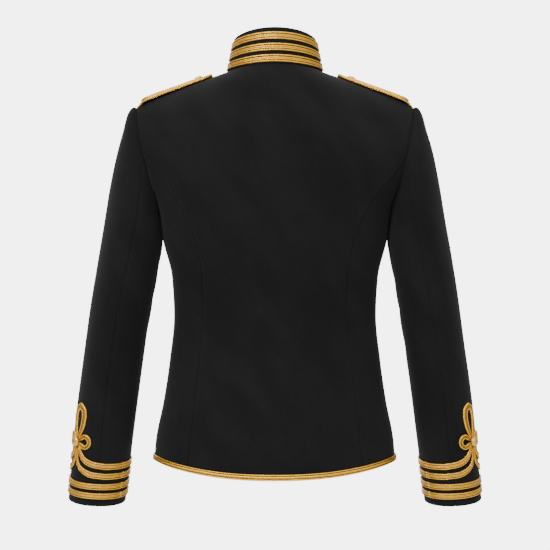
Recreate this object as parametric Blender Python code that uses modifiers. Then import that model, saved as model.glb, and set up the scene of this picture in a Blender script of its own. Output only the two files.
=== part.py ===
"""Hussar jacket: a short fitted jacket of black wool cloth with gold braid, open and empty.

The jacket faces -Y, the wearer's left is +X and +Z is up. The origin is on the centre plane at the
base of the neck, level with the neck ends of the two shoulder seams. Shapes are worked out in
millimetres and turned into metres as they become meshes.

Body: rings round the jacket, one for each row of BODY_ROWS. A ring's level is the height of its
side point; angle 0 is the centre back, 90 degrees the wearer's left side, 180 the centre front.
Sleeve: rings that fan out from the armhole about the underarm and then follow the arm; turn 0 is
the outer side of the arm, 90 degrees its back, 180 its inner side.
"""

import math

import bmesh
import bpy
import numpy as np
from mathutils import Vector

MILLIMETRE = 0.001

# Cloth and seams
CLOTH = 2.0
SEAM_GAP = 0.3
TRIM_LIFT = 0.4

# Levels of the body's main sections
NECK_LEVEL = 0.0
SHOULDER_LEVEL = -50.0
UNDERARM_LEVEL = -197.0
HEM_LEVEL = -547.0
HEM_SPACES = 11
SHOULDER_SPACES = 5

# Body sections; depths are measured from the centre plane of the shoulders, rises from the level.
# The fall is how much lower a ring runs halfway between its back or front and its side.
BODY_COLUMNS = ("level", "half_width", "back", "middle", "front", "back_rise", "front_rise", "fall",
                "fullness")
BODY_ROWS = (
    (-547.0, 170.5, 104.0, -2.0, -112.0, -22.0, -13.0, 0.0, 2.30),
    (-521.0, 168.6, 101.0, -2.0, -111.0, -19.0, -11.0, 0.0, 2.30),
    (-465.0, 157.8, 93.0, -4.0, -108.0, -14.0, -7.0, 0.0, 2.30),
    (-410.0, 149.8, 82.0, -7.0, -104.0, -9.0, -4.0, 0.0, 2.32),
    (-344.0, 143.4, 74.0, -8.0, -102.0, -5.0, -2.0, 0.0, 2.35),
    (-290.0, 146.3, 81.0, -7.0, -114.0, -2.0, -1.0, 0.0, 2.38),
    (-237.0, 159.0, 92.0, -5.0, -122.0, 0.0, -3.0, 0.0, 2.40),
    (-197.0, 165.0, 98.0, -3.0, -119.0, 2.0, -8.0, 0.0, 2.38),
    (-150.0, 190.0, 101.0, -1.0, -111.0, 4.0, -19.0, 4.0, 2.32),
    (-99.0, 201.0, 96.0, 1.0, -99.0, 7.0, -34.0, 14.0, 2.25),
    (-75.0, 200.0, 90.0, 2.0, -91.0, 9.0, -41.0, 22.0, 2.20),
    (-50.0, 195.4, 81.0, 2.0, -82.0, 10.0, -48.0, 26.0, 2.12),
    (-42.0, 186.0, 78.0, 2.0, -79.0, 10.0, -49.0, 22.0, 2.10),
    (-20.0, 128.0, 70.0, 2.0, -71.0, 9.0, -52.0, 9.0, 2.05),
    (0.0, 67.3, 59.0, 2.0, -62.0, 7.0, -55.0, 0.0, 2.00),
)

# Princess seams: how far the seam lies from the centre back at each level
PRINCESS_COLUMNS = ("level", "from_centre")
PRINCESS_ROWS = (
    (-547.0, 121.0),
    (-425.0, 107.5),
    (-382.0, 103.0),
    (-333.0, 99.5),
    (-292.0, 100.5),
    (-246.0, 108.0),
    (-200.0, 127.5),
    (-160.0, 154.0),
    (-142.5, 168.0),
    (-123.5, 181.4),
)

# Armhole: an oval in level and angle, wider at its lower half
ARMHOLE_STEPS = 12
ARMHOLE_BACK_SPREAD = 25.0
ARMHOLE_FRONT_SPREAD = 31.0
ARMHOLE_LEAN = 0.1
BACK_SEAM_STEP = 6
FRONT_SEAM_STEP = 9

# Panels: spaces between the seams; a front's last three spaces are its strip beside the lap
BACK_SPACES = 12
SIDE_SPACES = 4
FRONT_SPACES = 6

# The side back's top row stops this far along its last space, as a short edge
SIDE_BACK_TOP = 0.80
# Its last two rows lie this many times further from the back, where both walls turn
SIDE_BACK_TOP_EASE = 2.5

# Front closure: the wearer's right front laps over the left one
LAP_OVER = 18.0
LAP_UNDER = 12.0
TUCK_DEPTH = CLOTH + 0.7
TUCK_START = 36.0
TUCK_FULL = 19.5

# Collar
COLLAR_ROWS = 4
COLLAR_TOP_HALF_WIDTH = 58.2
COLLAR_TOP_BACK = 52.0
COLLAR_TOP_FRONT = -60.0
COLLAR_TOP_SIDE_HEIGHT = 45.3
COLLAR_TOP_BACK_HEIGHT = 58.8
COLLAR_TOP_FRONT_HEIGHT = -12.0
COLLAR_TOP_POWER = 1.3
COLLAR_FRONT_GAP = 1.4
COLLAR_BRAID_PLACES = (0.787, 0.475, 0.165)
COLLAR_BRAID_SHARE = 0.213
COLLAR_BRAID_THICKNESS = 2.0

# Sleeve sections, from the armhole to the cuff; along is measured down the arm's outer side
SLEEVE_COLUMNS = ("along", "outer_x", "outer_z", "inner_x", "inner_z", "middle", "half_depth",
                  "armhole_share", "back_tilt", "seam_turn")
SLEEVE_ROWS = (
    (0.0, 195.4, -50.0, 165.0, -197.0, -2.0, 54.0, 1.00, 0.0, 0.0),
    (6.0, 200.5, -49.0, 164.9, -199.0, -2.0, 55.0, 0.95, 0.0, 1.5),
    (16.0, 208.0, -57.0, 164.7, -202.0, -2.0, 57.0, 0.80, 0.0, 4.0),
    (42.0, 215.0, -82.0, 163.9, -208.0, -2.0, 60.0, 0.50, 0.0, 8.5),
    (86.0, 226.3, -124.0, 162.7, -217.0, -1.0, 63.0, 0.20, 0.0, 10.5),
    (130.0, 234.5, -166.0, 161.2, -228.0, 0.0, 64.5, 0.05, 0.0, 9.5),
    (172.0, 241.5, -209.0, 159.5, -240.0, 0.0, 64.5, 0.00, 0.0, 6.5),
    (214.0, 248.5, -250.0, 161.4, -256.0, 1.0, 63.0, 0.00, 0.0, 4.5),
    (285.0, 259.9, -320.0, 173.6, -326.0, 2.0, 60.0, 0.00, 0.01, 1.0),
    (356.0, 269.8, -391.0, 185.0, -396.0, 1.0, 56.0, 0.00, 0.05, 0.0),
    (429.0, 280.2, -463.0, 195.2, -467.0, -7.0, 52.0, 0.00, 0.11, 0.5),
    (500.0, 288.6, -534.0, 204.7, -538.0, -18.0, 48.5, 0.00, 0.14, 0.5),
    (572.0, 295.6, -605.0, 214.0, -609.0, -29.0, 45.5, 0.00, 0.14, 0.5),
)
SLEEVE_FULLNESS = 2.12
SLEEVE_RINGS = (0.0, 6.0, 16.0, 29.0, 45.0, 65.0, 86.0, 112.0, 142.0, 175.0, 215.0, 262.0, 314.0,
                368.0, 420.0, 471.0, 522.0, 572.0)
CUFF_END = 572.0

# Braid profiles, in widths and thicknesses, with rounded shoulders; a bent route has one more point
# beneath, so that its back follows the arm
FLAT_BRAID = ((-0.5, 0.0), (0.5, 0.0), (0.46, 0.7), (0.22, 1.0), (-0.22, 1.0), (-0.46, 0.7))
BENT_BRAID = ((-0.5, 0.0), (0.0, 0.0), (0.5, 0.0), (0.44, 0.8), (0.0, 1.0), (-0.44, 0.8))

# Cuff braid: four rows, measured up from the cuff's edge
CUFF_ROW_HEIGHTS = (58.0, 43.6, 28.4, 14.7)
CUFF_BRAID_WIDTH = 8.6
CUFF_BRAID_THICKNESS = 2.0
CUFF_AXIS_TURN = 39.5
CUFF_ARC = 46.0

# Routes on the cuff: distance round from the knot's axis, height above the cuff's edge, braid width
ROW_ONE_RISE = (
    (46.0, 58.6, 8.6),
    (37.0, 59.5, 8.6),
    (29.5, 60.9, 8.6),
    (22.0, 63.4, 8.4),
    (14.5, 68.0, 7.4),
    (8.4, 75.6, 5.8),
    (4.6, 82.6, 4.4),
)
ROW_TWO_RISE = (
    (46.0, 44.2, 8.6),
    (34.0, 45.0, 8.6),
    (25.0, 46.7, 8.4),
    (16.5, 50.0, 7.6),
    (9.2, 54.6, 6.6),
    (4.8, 60.5, 5.4),
    (2.7, 67.5, 4.5),
    (2.35, 75.0, 4.1),
)
TALL_LOOP_HALF = (
    (3.0, 96.8, 4.8),
    (5.4, 103.5, 6.6),
    (8.4, 113.5, 8.2),
    (9.5, 123.5, 8.6),
    (7.6, 133.2, 8.8),
    (0.0, 139.4, 9.0),
)
ROUTE_SPACES = 12
LOOP_THICKNESS = 2.2

# Side loops of the knot: most of a ring each, open towards the button
SIDE_LOOP_ACROSS = 15.4
SIDE_LOOP_HEIGHT = 90.8
SIDE_LOOP_RADIUS = 7.5
SIDE_LOOP_WIDTH = 6.4
SIDE_LOOP_FROM = -138.0
SIDE_LOOP_TO = 146.0
SIDE_LOOP_SPACES = 14

# Buttons: turned profiles, from the top of the dome down to the foot of the shank
BUTTON_STEPS = 10
CUFF_BUTTON_HEIGHT = 89.5
CUFF_BUTTON = ((0.0, 9.2), (3.6, 8.6), (6.2, 6.9), (7.1, 4.6), (6.4, 3.1), (1.0, 3.0), (1.0, 0.4),
               (0.0, 0.4))
STRAP_BUTTON = ((0.0, 5.3), (3.2, 4.9), (5.5, 3.7), (6.3, 2.1), (5.6, 1.1), (1.5, 0.9), (1.5, 0.4),
                (0.0, 0.4))
FRONT_BUTTON = ((0.0, 11.4), (3.9, 10.7), (6.7, 8.2), (7.4, 5.4), (6.0, 2.6), (1.6, 1.5), (1.6, 0.4),
                (0.0, 0.4))
FRONT_BUTTONS = 7
FRONT_BUTTON_HIGH = -32.0
FRONT_BUTTON_LOW = -478.0

# Shoulder straps, from the armhole to a round end near the collar
STRAP_OUTER_X = 191.0
STRAP_NECK_X = 92.0
STRAP_OUTER_HALF_WIDTH = 23.0
STRAP_NECK_HALF_WIDTH = 17.0
STRAP_ROUND_START = 0.84
STRAP_ROUND_TURNS = (30.0, 57.0, 77.0)
STRAP_STRAIGHT_SPACES = 7
STRAP_HALF_SPACES = 3
STRAP_THICKNESS = 2.2
STRAP_LIFT = 0.9
STRAP_END_LIFT = 1.6
STRAP_BUTTON_X = 107.0
STRAP_CORD_RADIUS = 2.2
STRAP_CORD_START = -0.03
STRAP_CORD_PAST = 0.022

# Hem braid
HEM_BRAID_HEIGHT = 7.7
HEM_BRAID_DROP = 0.6
HEM_BRAID_THICKNESS = 2.6

COLOURS = {
    "black_wool": ((0.012, 0.012, 0.013, 1.0), 0.92, 0.0),
    "gold_braid": ((0.72, 0.45, 0.12, 1.0), 0.42, 0.7),
    "gilt_button": ((0.83, 0.62, 0.27, 1.0), 0.25, 1.0),
}

QUARTER = 0.5 * math.pi

# Small steps over which a surface's direction is measured, in millimetres and radians
NEAR = 1.0
NEAR_TURN = 0.01

SHARP_DEGREES = 35.0
SHOULDER_SAMPLES = 101
BUTTON_MERGE = 0.00001


def smooth_curve(knots, values, at):
    """Value at each place on the smooth curve through a table's column, with no overshoot."""
    steps = np.diff(knots)
    slopes = np.diff(values) / steps
    same_way = slopes[:-1] * slopes[1:] > 0
    total = np.where(same_way, slopes[:-1] + slopes[1:], 1.0)
    inner = np.where(same_way, 2.0 * slopes[:-1] * slopes[1:] / total, 0.0)
    tangents = np.concatenate(([slopes[0]], inner, [slopes[-1]]))
    at = np.clip(at, knots[0], knots[-1])
    place = np.clip(np.searchsorted(knots, at, side="right") - 1, 0, len(steps) - 1)
    width = steps[place]
    part = (at - knots[place]) / width
    rise = part * part * (3.0 - 2.0 * part)
    ease_in = part * (1.0 - part) ** 2 * width
    ease_out = part * part * (part - 1.0) * width
    return (values[place] * (1.0 - rise) + values[place + 1] * rise
            + tangents[place] * ease_in + tangents[place + 1] * ease_out)


def read_table(columns, rows, at):
    """Every column of a table at the given places, by name; the first column is the place."""
    numbers = np.array(rows)
    knots = numbers[:, 0]
    return {name: smooth_curve(knots, numbers[:, number], at)
            for number, name in enumerate(columns) if number}


def unit(vectors):
    return vectors / np.maximum(np.linalg.norm(vectors, axis=-1, keepdims=True), 1e-12)


def signed_power(values, power):
    return np.sign(values) * np.abs(values) ** power


def stack(x, y, z):
    return np.stack(np.broadcast_arrays(x, y, z), axis=-1).astype(float)


# Body surface

def body_point(level, angle):
    """Point on the body's outer side: an oval ring at each level, lower or higher at back and front."""
    row = read_table(BODY_COLUMNS, BODY_ROWS, level)
    power = 2.0 / row["fullness"]
    cosine, sine = np.cos(angle), np.sin(angle)
    behind = cosine > 0.0
    reach = np.where(behind, row["back"], row["front"]) - row["middle"]
    rise = np.where(behind, row["back_rise"], row["front_rise"])
    x = row["half_width"] * signed_power(sine, power)
    y = row["middle"] + reach * np.abs(cosine) ** power
    return stack(x, y, level + rise * cosine ** 2 - row["fall"] * np.sin(2.0 * angle) ** 2)


def body_normal(level, angle):
    """Outward direction of the body surface, from points a little way off on each side."""
    below = np.maximum(level - NEAR, HEM_LEVEL)
    above = np.minimum(level + NEAR, NECK_LEVEL)
    upward = body_point(above, angle) - body_point(below, angle)
    around = body_point(level, angle + NEAR_TURN) - body_point(level, angle - NEAR_TURN)
    return unit(np.cross(upward, around))


def angle_at(level, from_centre):
    """Angle on the wearer's left half of the back at which the ring lies this far from the centre."""
    row = read_table(BODY_COLUMNS, BODY_ROWS, level)
    share = np.clip(from_centre / row["half_width"], 0.0, 1.0)
    return np.arcsin(share ** (0.5 * row["fullness"]))


def armhole_level(turn):
    middle = 0.5 * (SHOULDER_LEVEL + UNDERARM_LEVEL)
    return middle + 0.5 * (SHOULDER_LEVEL - UNDERARM_LEVEL) * np.cos(turn)


def armhole_angle(turn, spread):
    """Angle of the armhole's edge; spread is positive towards the back and negative to the front."""
    return QUARTER - math.radians(spread) * np.abs(np.sin(turn)) * (1.0 - ARMHOLE_LEAN * np.cos(turn))


def low_levels():
    return np.linspace(HEM_LEVEL, UNDERARM_LEVEL, HEM_SPACES + 1)


def armhole_turns():
    return np.linspace(math.pi, 0.0, ARMHOLE_STEPS + 1)


def high_levels():
    return np.linspace(SHOULDER_LEVEL, NECK_LEVEL, SHOULDER_SPACES + 1)


def body_levels():
    """Levels of the body's rows from hem to neck: even below the armhole, bunched at its ends."""
    return np.concatenate((low_levels(), armhole_level(armhole_turns())[1:], high_levels()[1:]))


def princess_angle(level):
    row = read_table(PRINCESS_COLUMNS, PRINCESS_ROWS, level)
    return angle_at(level, row["from_centre"])


def side_edge(spread):
    """Angle of a front's or back's outer edge on each row: side seam, armhole, shoulder seam."""
    turns = armhole_turns()
    return np.concatenate((np.full(HEM_SPACES, QUARTER), armhole_angle(turns, spread),
                           np.full(SHOULDER_SPACES, QUARTER)))


def back_edge():
    """Angle of the back's outer edge on each row: princess seam, armhole, shoulder seam."""
    edge = side_edge(ARMHOLE_BACK_SPREAD)
    count = seam_row()
    edge[:count] = princess_angle(body_levels()[:count])
    return edge


def seam_row():
    """Row at which the princess seam meets the armhole."""
    return HEM_SPACES + ARMHOLE_STEPS - BACK_SEAM_STEP


def armhole_inward(points):
    """Wall direction at the armhole: square to X, towards the middle of the hole."""
    middle_level = 0.5 * (SHOULDER_LEVEL + UNDERARM_LEVEL)
    towards = stack(0.0 * points[..., 0], -points[..., 1], middle_level - points[..., 2])
    return CLOTH * unit(towards)


def neck_inward(angle):
    """Wall direction at the neckline, shared by the body and the collar."""
    both = body_normal(np.full_like(angle, NECK_LEVEL), angle) + collar_normal(0.0 * angle, angle)
    return -CLOTH * unit(both)


def away_from_seam(edge, neighbour, inward):
    """Half the seam gap, square to the seam and to the wall, on the panel's own side."""
    along = np.gradient(edge, axis=0)
    across = unit(np.cross(along, inward))
    side = np.sign(np.sum(across * (neighbour - edge), axis=-1, keepdims=True))
    return 0.5 * SEAM_GAP * side * across


# Collar surface

def collar_top(angle):
    cosine = np.cos(angle)
    behind = cosine > 0.0
    y = np.where(behind, COLLAR_TOP_BACK, -COLLAR_TOP_FRONT) * cosine
    end_height = np.where(behind, COLLAR_TOP_BACK_HEIGHT, COLLAR_TOP_FRONT_HEIGHT)
    z = COLLAR_TOP_SIDE_HEIGHT + (end_height - COLLAR_TOP_SIDE_HEIGHT) * np.abs(cosine) ** COLLAR_TOP_POWER
    return stack(COLLAR_TOP_HALF_WIDTH * np.sin(angle), y, z)


def collar_point(share, angle):
    """Straight from the neckline, share 0, to the collar's top edge, share 1."""
    base = body_point(np.full_like(angle, NECK_LEVEL), angle)
    return base + (collar_top(angle) - base) * np.asarray(share)[..., None]


def collar_normal(share, angle):
    upward = collar_top(angle) - body_point(np.full_like(angle, NECK_LEVEL), angle)
    around = collar_point(share, angle + NEAR_TURN) - collar_point(share, angle - NEAR_TURN)
    return unit(np.cross(upward, around))


# Sleeve surface

def armhole_loop(turn):
    """Point of the armhole at this turn, which is also the sleeve's first ring."""
    spread = np.where(np.sin(turn) >= 0.0, ARMHOLE_BACK_SPREAD, -ARMHOLE_FRONT_SPREAD)
    spread = np.radians(spread) * np.abs(np.sin(turn)) * (1.0 - ARMHOLE_LEAN * np.cos(turn))
    return body_point(armhole_level(turn), QUARTER - spread)


def oval_ring(row, turn):
    """Oval from the arm's outer side to its inner side, in a plane that leans back."""
    power = 2.0 / SLEEVE_FULLNESS
    outward = signed_power(np.cos(turn), power)
    backward = row["half_depth"] * signed_power(np.sin(turn), power)
    x = 0.5 * (row["outer_x"] + row["inner_x"]) + 0.5 * (row["outer_x"] - row["inner_x"]) * outward
    z = 0.5 * (row["outer_z"] + row["inner_z"]) + 0.5 * (row["outer_z"] - row["inner_z"]) * outward
    return stack(x, row["middle"] + backward, z - row["back_tilt"] * backward)


def sleeve_point(along, turn):
    """Point of the sleeve: its oval, with what is left there of the armhole's own form."""
    along, turn = np.broadcast_arrays(np.asarray(along, float), np.asarray(turn, float))
    row = read_table(SLEEVE_COLUMNS, SLEEVE_ROWS, along)
    first = read_table(SLEEVE_COLUMNS, SLEEVE_ROWS, 0.0 * along)
    turned = turn + np.radians(row["seam_turn"]) * np.maximum(np.sin(turn), 0.0)
    own_form = armhole_loop(turn) - oval_ring(first, turn)
    return oval_ring(row, turned) + own_form * row["armhole_share"][..., None]


def sleeve_normal(along, turn):
    before = np.maximum(along - NEAR, 0.0)
    after = np.minimum(along + NEAR, CUFF_END)
    down = sleeve_point(after, turn) - sleeve_point(before, turn)
    around = sleeve_point(along, turn + NEAR_TURN) - sleeve_point(along, turn - NEAR_TURN)
    return unit(np.cross(down, around))


def sleeve_turns():
    """Turns of the sleeve's columns: the armhole's own rows, all the way round."""
    return np.linspace(0.0, 2.0 * math.pi, 2 * ARMHOLE_STEPS + 1)


# Making objects

def new_collection(name):
    collection = bpy.data.collections.new(name)
    bpy.context.scene.collection.children.link(collection)
    return collection


def make_material(name):
    colour, roughness, metallic = COLOURS[name]
    material = bpy.data.materials.get(name) or bpy.data.materials.new(name)
    material.use_nodes = True
    shader = material.node_tree.nodes["Principled BSDF"]
    shader.inputs["Base Color"].default_value = colour
    shader.inputs["Roughness"].default_value = roughness
    shader.inputs["Metallic"].default_value = metallic
    material.diffuse_color = colour
    return material


def add_object(collection, name, data, material):
    piece = bpy.data.objects.new(name, data)
    data.materials.append(make_material(material))
    collection.objects.link(piece)
    return piece


def add_closed_mesh(collection, name, points, faces, material, side=1):
    """A closed mesh with its faces turned outwards; side -1 gives the wearer's right-hand copy."""
    points = points.reshape(-1, 3) * (side * MILLIMETRE, MILLIMETRE, MILLIMETRE)
    mesh = bpy.data.meshes.new(name)
    mesh.from_pydata(points.tolist(), [], faces)
    work = bmesh.new()
    work.from_mesh(mesh)
    bmesh.ops.recalc_face_normals(work, faces=work.faces)
    work.to_mesh(mesh)
    work.free()
    mesh.shade_smooth()
    mesh.set_sharp_from_angle(angle=math.radians(SHARP_DEGREES))
    return add_object(collection, name, mesh, material)


def add_wall(collection, name, outer, inward, material="black_wool", side=1):
    """A cloth wall: an outer grid, the same grid moved inwards, and strips along the four edges."""
    rows, columns = outer.shape[:2]
    number = np.arange(rows * columns).reshape(rows, columns)
    inner = number + rows * columns
    faces = []
    for front in (number, inner):
        quads = (front[:-1, :-1], front[1:, :-1], front[1:, 1:], front[:-1, 1:])
        faces.extend(np.stack(quads, axis=-1).reshape(-1, 4).tolist())
    rim = np.concatenate((number[0, :-1], number[:-1, -1], number[-1, :0:-1], number[:0:-1, 0]))
    rim_next = np.roll(rim, -1)
    shift = rows * columns
    faces.extend(np.stack((rim, rim_next, rim_next + shift, rim + shift), axis=-1).tolist())
    points = np.concatenate((outer.reshape(-1, 3), (outer + inward).reshape(-1, 3)))
    return add_closed_mesh(collection, name, points, faces, material, side)


def add_strand(collection, name, rings, closed, material="gold_braid", side=1):
    """A braid: the same profile at every station of its route, closed on itself or capped."""
    stations, profile = rings.shape[:2]
    number = np.arange(stations * profile).reshape(stations, profile)
    following = np.roll(number, -1, axis=0)
    if not closed:
        number, following = number[:-1], following[:-1]
    around, around_next = np.roll(number, -1, axis=1), np.roll(following, -1, axis=1)
    faces = np.stack((number, around, around_next, following), axis=-1).reshape(-1, 4).tolist()
    if not closed:
        faces.append(list(range(profile)))
        faces.append(list(range((stations - 1) * profile, stations * profile)))
    return add_closed_mesh(collection, name, rings, faces, material, side)


# Cloth panels

def panel_grid(levels, first_edge, last_edge, spaces):
    """Levels and angles of a panel's grid; a row of the panel runs at one level from seam to seam."""
    share = np.linspace(0.0, 1.0, spaces + 1)
    angles = first_edge[:, None] + (last_edge - first_edge)[:, None] * share
    return np.broadcast_to(levels[:, None], angles.shape), angles


def add_back(collection):
    levels, edge = body_levels(), back_edge()
    level, angle = panel_grid(levels, -edge, edge, BACK_SPACES)
    outer = body_point(level, angle)
    inward = -CLOTH * body_normal(level, angle)
    first, last = seam_row(), HEM_SPACES + ARMHOLE_STEPS
    for column in (0, -1):
        inward[first:last + 1, column] = armhole_inward(outer[first:last + 1, column])
    inward[-1] = neck_inward(angle[-1])
    move = np.zeros_like(outer)
    for column, neighbour, side in ((0, 1, -1.0), (-1, -2, 1.0)):
        seam = away_from_seam(outer[:, column], outer[:, neighbour], inward[:, column])
        seam[first + 1:last] = 0.0
        seam[first:last + 1, 0] -= side * 0.5 * SEAM_GAP
        move[:, column] += seam
    move[-1] += away_from_seam(outer[-1], outer[-2], inward[-1])
    add_wall(collection, "back", outer + move, inward)


def side_back_walls():
    """Outer grid and wall directions of the wearer's left side back, with its top cut to a short edge."""
    count = seam_row() + 1
    levels = body_levels()[:count]
    outer_edge = side_edge(ARMHOLE_BACK_SPREAD)[:count]
    inner_edge = back_edge()[:count]
    level, angle = panel_grid(levels, inner_edge, outer_edge, SIDE_SPACES)
    outer = body_point(level, angle)
    inward = -CLOTH * body_normal(level, angle)
    inward[HEM_SPACES:, -1] = armhole_inward(outer[HEM_SPACES:, -1])
    inward[-1] = inward[-1, -1]
    for grid in (outer, inward):
        grid[-1] = grid[-2] + (grid[-1] - grid[-2]) * SIDE_BACK_TOP
    return outer, inward


def add_side_backs(collection):
    outer, inward = side_back_walls()
    move = np.zeros_like(outer)
    move[:, 0] = away_from_seam(outer[:, 0], outer[:, 1], inward[:, 0])
    move[:, -1] = away_from_seam(outer[:, -1], outer[:, -2], inward[:, -1])
    move[-2:, 0] *= SIDE_BACK_TOP_EASE
    move[HEM_SPACES + 1:, -1] = 0.0
    move[HEM_SPACES:, -1, 0] -= 0.5 * SEAM_GAP
    for name, side in (("side_back_left", 1), ("side_back_right", -1)):
        add_wall(collection, name, outer + move, inward, side=side)


def tuck_amount(x):
    """How far the under front is let in, from nothing to its full depth beneath the lap."""
    part = np.clip((TUCK_START - x) / (TUCK_START - TUCK_FULL), 0.0, 1.0)
    return TUCK_DEPTH * part * part * (3.0 - 2.0 * part)


def front_angle(level, x):
    """Angle at which a ring lies this far to the left of the centre front."""
    return 2.0 * QUARTER - np.sign(x) * angle_at(level, abs(x))


def front_grid(reach):
    """Levels and angles of a front: even columns, then those of the strip beside its lap."""
    levels = body_levels()
    level, angle = panel_grid(levels, side_edge(-ARMHOLE_FRONT_SPREAD), front_angle(levels, TUCK_START),
                              FRONT_SPACES)
    strip = [front_angle(levels, x) for x in (TUCK_FULL, 0.0, -reach)]
    return np.column_stack((level, levels, levels, levels)), np.column_stack((angle, *strip))


def front_walls(reach, tucked):
    """Outer grid and wall directions of a front that runs past the centre by this reach."""
    level, angle = front_grid(reach)
    outer = body_point(level, angle)
    normal = body_normal(level, angle)
    inward = -CLOTH * normal
    first, last = HEM_SPACES, HEM_SPACES + ARMHOLE_STEPS
    inward[first:last + 1, 0] = armhole_inward(outer[first:last + 1, 0])
    inward[-1] = neck_inward(angle[-1])
    move = np.zeros_like(outer)
    seam = away_from_seam(outer[:, 0], outer[:, 1], inward[:, 0])
    seam[first + 1:last] = 0.0
    seam[first:last + 1, 0] -= 0.5 * SEAM_GAP
    move[:, 0] += seam
    move[-1] += away_from_seam(outer[-1], outer[-2], inward[-1])
    if tucked:
        move -= normal * tuck_amount(outer[..., 0])[..., None]
    return outer + move, inward


def add_fronts(collection):
    over, over_inward = front_walls(LAP_OVER, False)
    add_wall(collection, "front_right", over, over_inward, side=-1)
    under, under_inward = front_walls(LAP_UNDER, True)
    add_wall(collection, "front_left", under, under_inward)


def neckline_angles():
    """Angles of the collar's columns: those of the panels below it, from one front end to the other."""
    neck = np.array(NECK_LEVEL)
    front = np.linspace(QUARTER, front_angle(neck, TUCK_START), FRONT_SPACES + 1)
    strip = [front_angle(neck, x) for x in (TUCK_FULL, 0.5 * COLLAR_FRONT_GAP)]
    front = np.concatenate((front, strip))
    back = np.linspace(-QUARTER, QUARTER, BACK_SPACES + 1)[1:-1]
    return np.concatenate((-front[::-1], back, front))


def add_collar(collection):
    angles = neckline_angles()
    share, angle = np.meshgrid(np.linspace(0.0, 1.0, COLLAR_ROWS + 1), angles, indexing="ij")
    outer = collar_point(share, angle)
    inward = -CLOTH * collar_normal(share, angle)
    inward[0] = neck_inward(angles)
    move = np.zeros_like(outer)
    move[0] = away_from_seam(outer[0], outer[1], inward[0])
    add_wall(collection, "collar", outer + move, inward)


def add_collar_braids(collection):
    """Three flat braids round the collar, each as tall as its share of the collar's height."""
    profile = np.array(FLAT_BRAID)
    angles = neckline_angles()[:, None]
    for number, place in enumerate(COLLAR_BRAID_PLACES, start=1):
        share, angle = np.broadcast_arrays(place + COLLAR_BRAID_SHARE * profile[:, 0], angles)
        lift = TRIM_LIFT + COLLAR_BRAID_THICKNESS * profile[:, 1]
        rings = collar_point(share, angle) + collar_normal(share, angle) * lift[:, None]
        add_strand(collection, f"collar_braid_{number}", rings, closed=False)


def sleeve_piece(first, last):
    """Outer grid and wall directions of the sleeve between two of its columns, which may pass the top."""
    turns = math.pi / ARMHOLE_STEPS * np.arange(first, last + 1)
    along, turn = np.meshgrid(np.array(SLEEVE_RINGS), turns, indexing="ij")
    outer = sleeve_point(along, turn)
    inward = -CLOTH * sleeve_normal(along, turn)
    inward[0] = armhole_inward(outer[0])
    move = np.zeros_like(outer)
    for column, neighbour in ((0, 1), (-1, -2)):
        move[:, column] = away_from_seam(outer[:, column], outer[:, neighbour], inward[:, column])
    move[0, :, 0] += 0.5 * SEAM_GAP
    return outer + move, inward


def add_sleeves(collection):
    whole = 2 * ARMHOLE_STEPS
    under = sleeve_piece(BACK_SEAM_STEP, whole - FRONT_SEAM_STEP)
    upper = sleeve_piece(whole - FRONT_SEAM_STEP, whole + BACK_SEAM_STEP)
    for name, side in (("left", 1), ("right", -1)):
        add_wall(collection, f"sleeve_upper_{name}", *upper, side=side)
        add_wall(collection, f"sleeve_under_{name}", *under, side=side)


# Cuff braids and knots

def cuff_rings(across, height, width, thickness):
    """A flat braid's rings along a route on the cuff, square to the route and lying on the cloth."""
    profile = np.array(BENT_BRAID)
    along_route = unit(np.column_stack((np.gradient(across), np.gradient(height))))
    sideways = width[:, None] * profile[:, 0]
    place_across = across[:, None] - along_route[:, 1:] * sideways
    place_height = height[:, None] + along_route[:, :1] * sideways
    turn = math.radians(CUFF_AXIS_TURN) + place_across / CUFF_ARC
    along = CUFF_END - place_height
    lift = TRIM_LIFT + thickness * profile[:, 1]
    return sleeve_point(along, turn) + sleeve_normal(along, turn) * lift[:, None]


def smooth_route(points, spaces):
    """Even stations on the smooth curve through a route's points: across, height and width."""
    numbers = np.array(points)
    knots = np.arange(len(points), dtype=float)
    at = np.linspace(0.0, knots[-1], spaces + 1)
    return np.column_stack([smooth_curve(knots, column, at) for column in numbers.T])


def round_arm(rise, row_height):
    """A row's route: down from the button, round the arm on the sleeve's columns, and up again."""
    down = smooth_route(rise, ROUTE_SPACES)[::-1]
    turns = math.pi / ARMHOLE_STEPS * np.arange(ARMHOLE_STEPS // 2 + 1, 2 * ARMHOLE_STEPS - 1)
    across = CUFF_ARC * (turns - math.radians(CUFF_AXIS_TURN))
    level = np.column_stack((across, np.full_like(across, row_height),
                             np.full_like(across, CUFF_BRAID_WIDTH)))
    up = down[::-1] * (-1.0, 1.0, 1.0) + (2.0 * math.pi * CUFF_ARC, 0.0, 0.0)
    return np.concatenate((down, level, up))


def tall_loop():
    half = smooth_route(TALL_LOOP_HALF, ROUTE_SPACES)
    return np.concatenate((half, half[-2::-1] * (-1.0, 1.0, 1.0)))


def side_loop(side):
    bend = np.radians(np.linspace(SIDE_LOOP_FROM, SIDE_LOOP_TO, SIDE_LOOP_SPACES + 1))
    across = side * (SIDE_LOOP_ACROSS + SIDE_LOOP_RADIUS * np.cos(bend))
    height = SIDE_LOOP_HEIGHT + SIDE_LOOP_RADIUS * np.sin(bend)
    return np.column_stack((across, height, np.full_like(across, SIDE_LOOP_WIDTH)))


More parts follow.
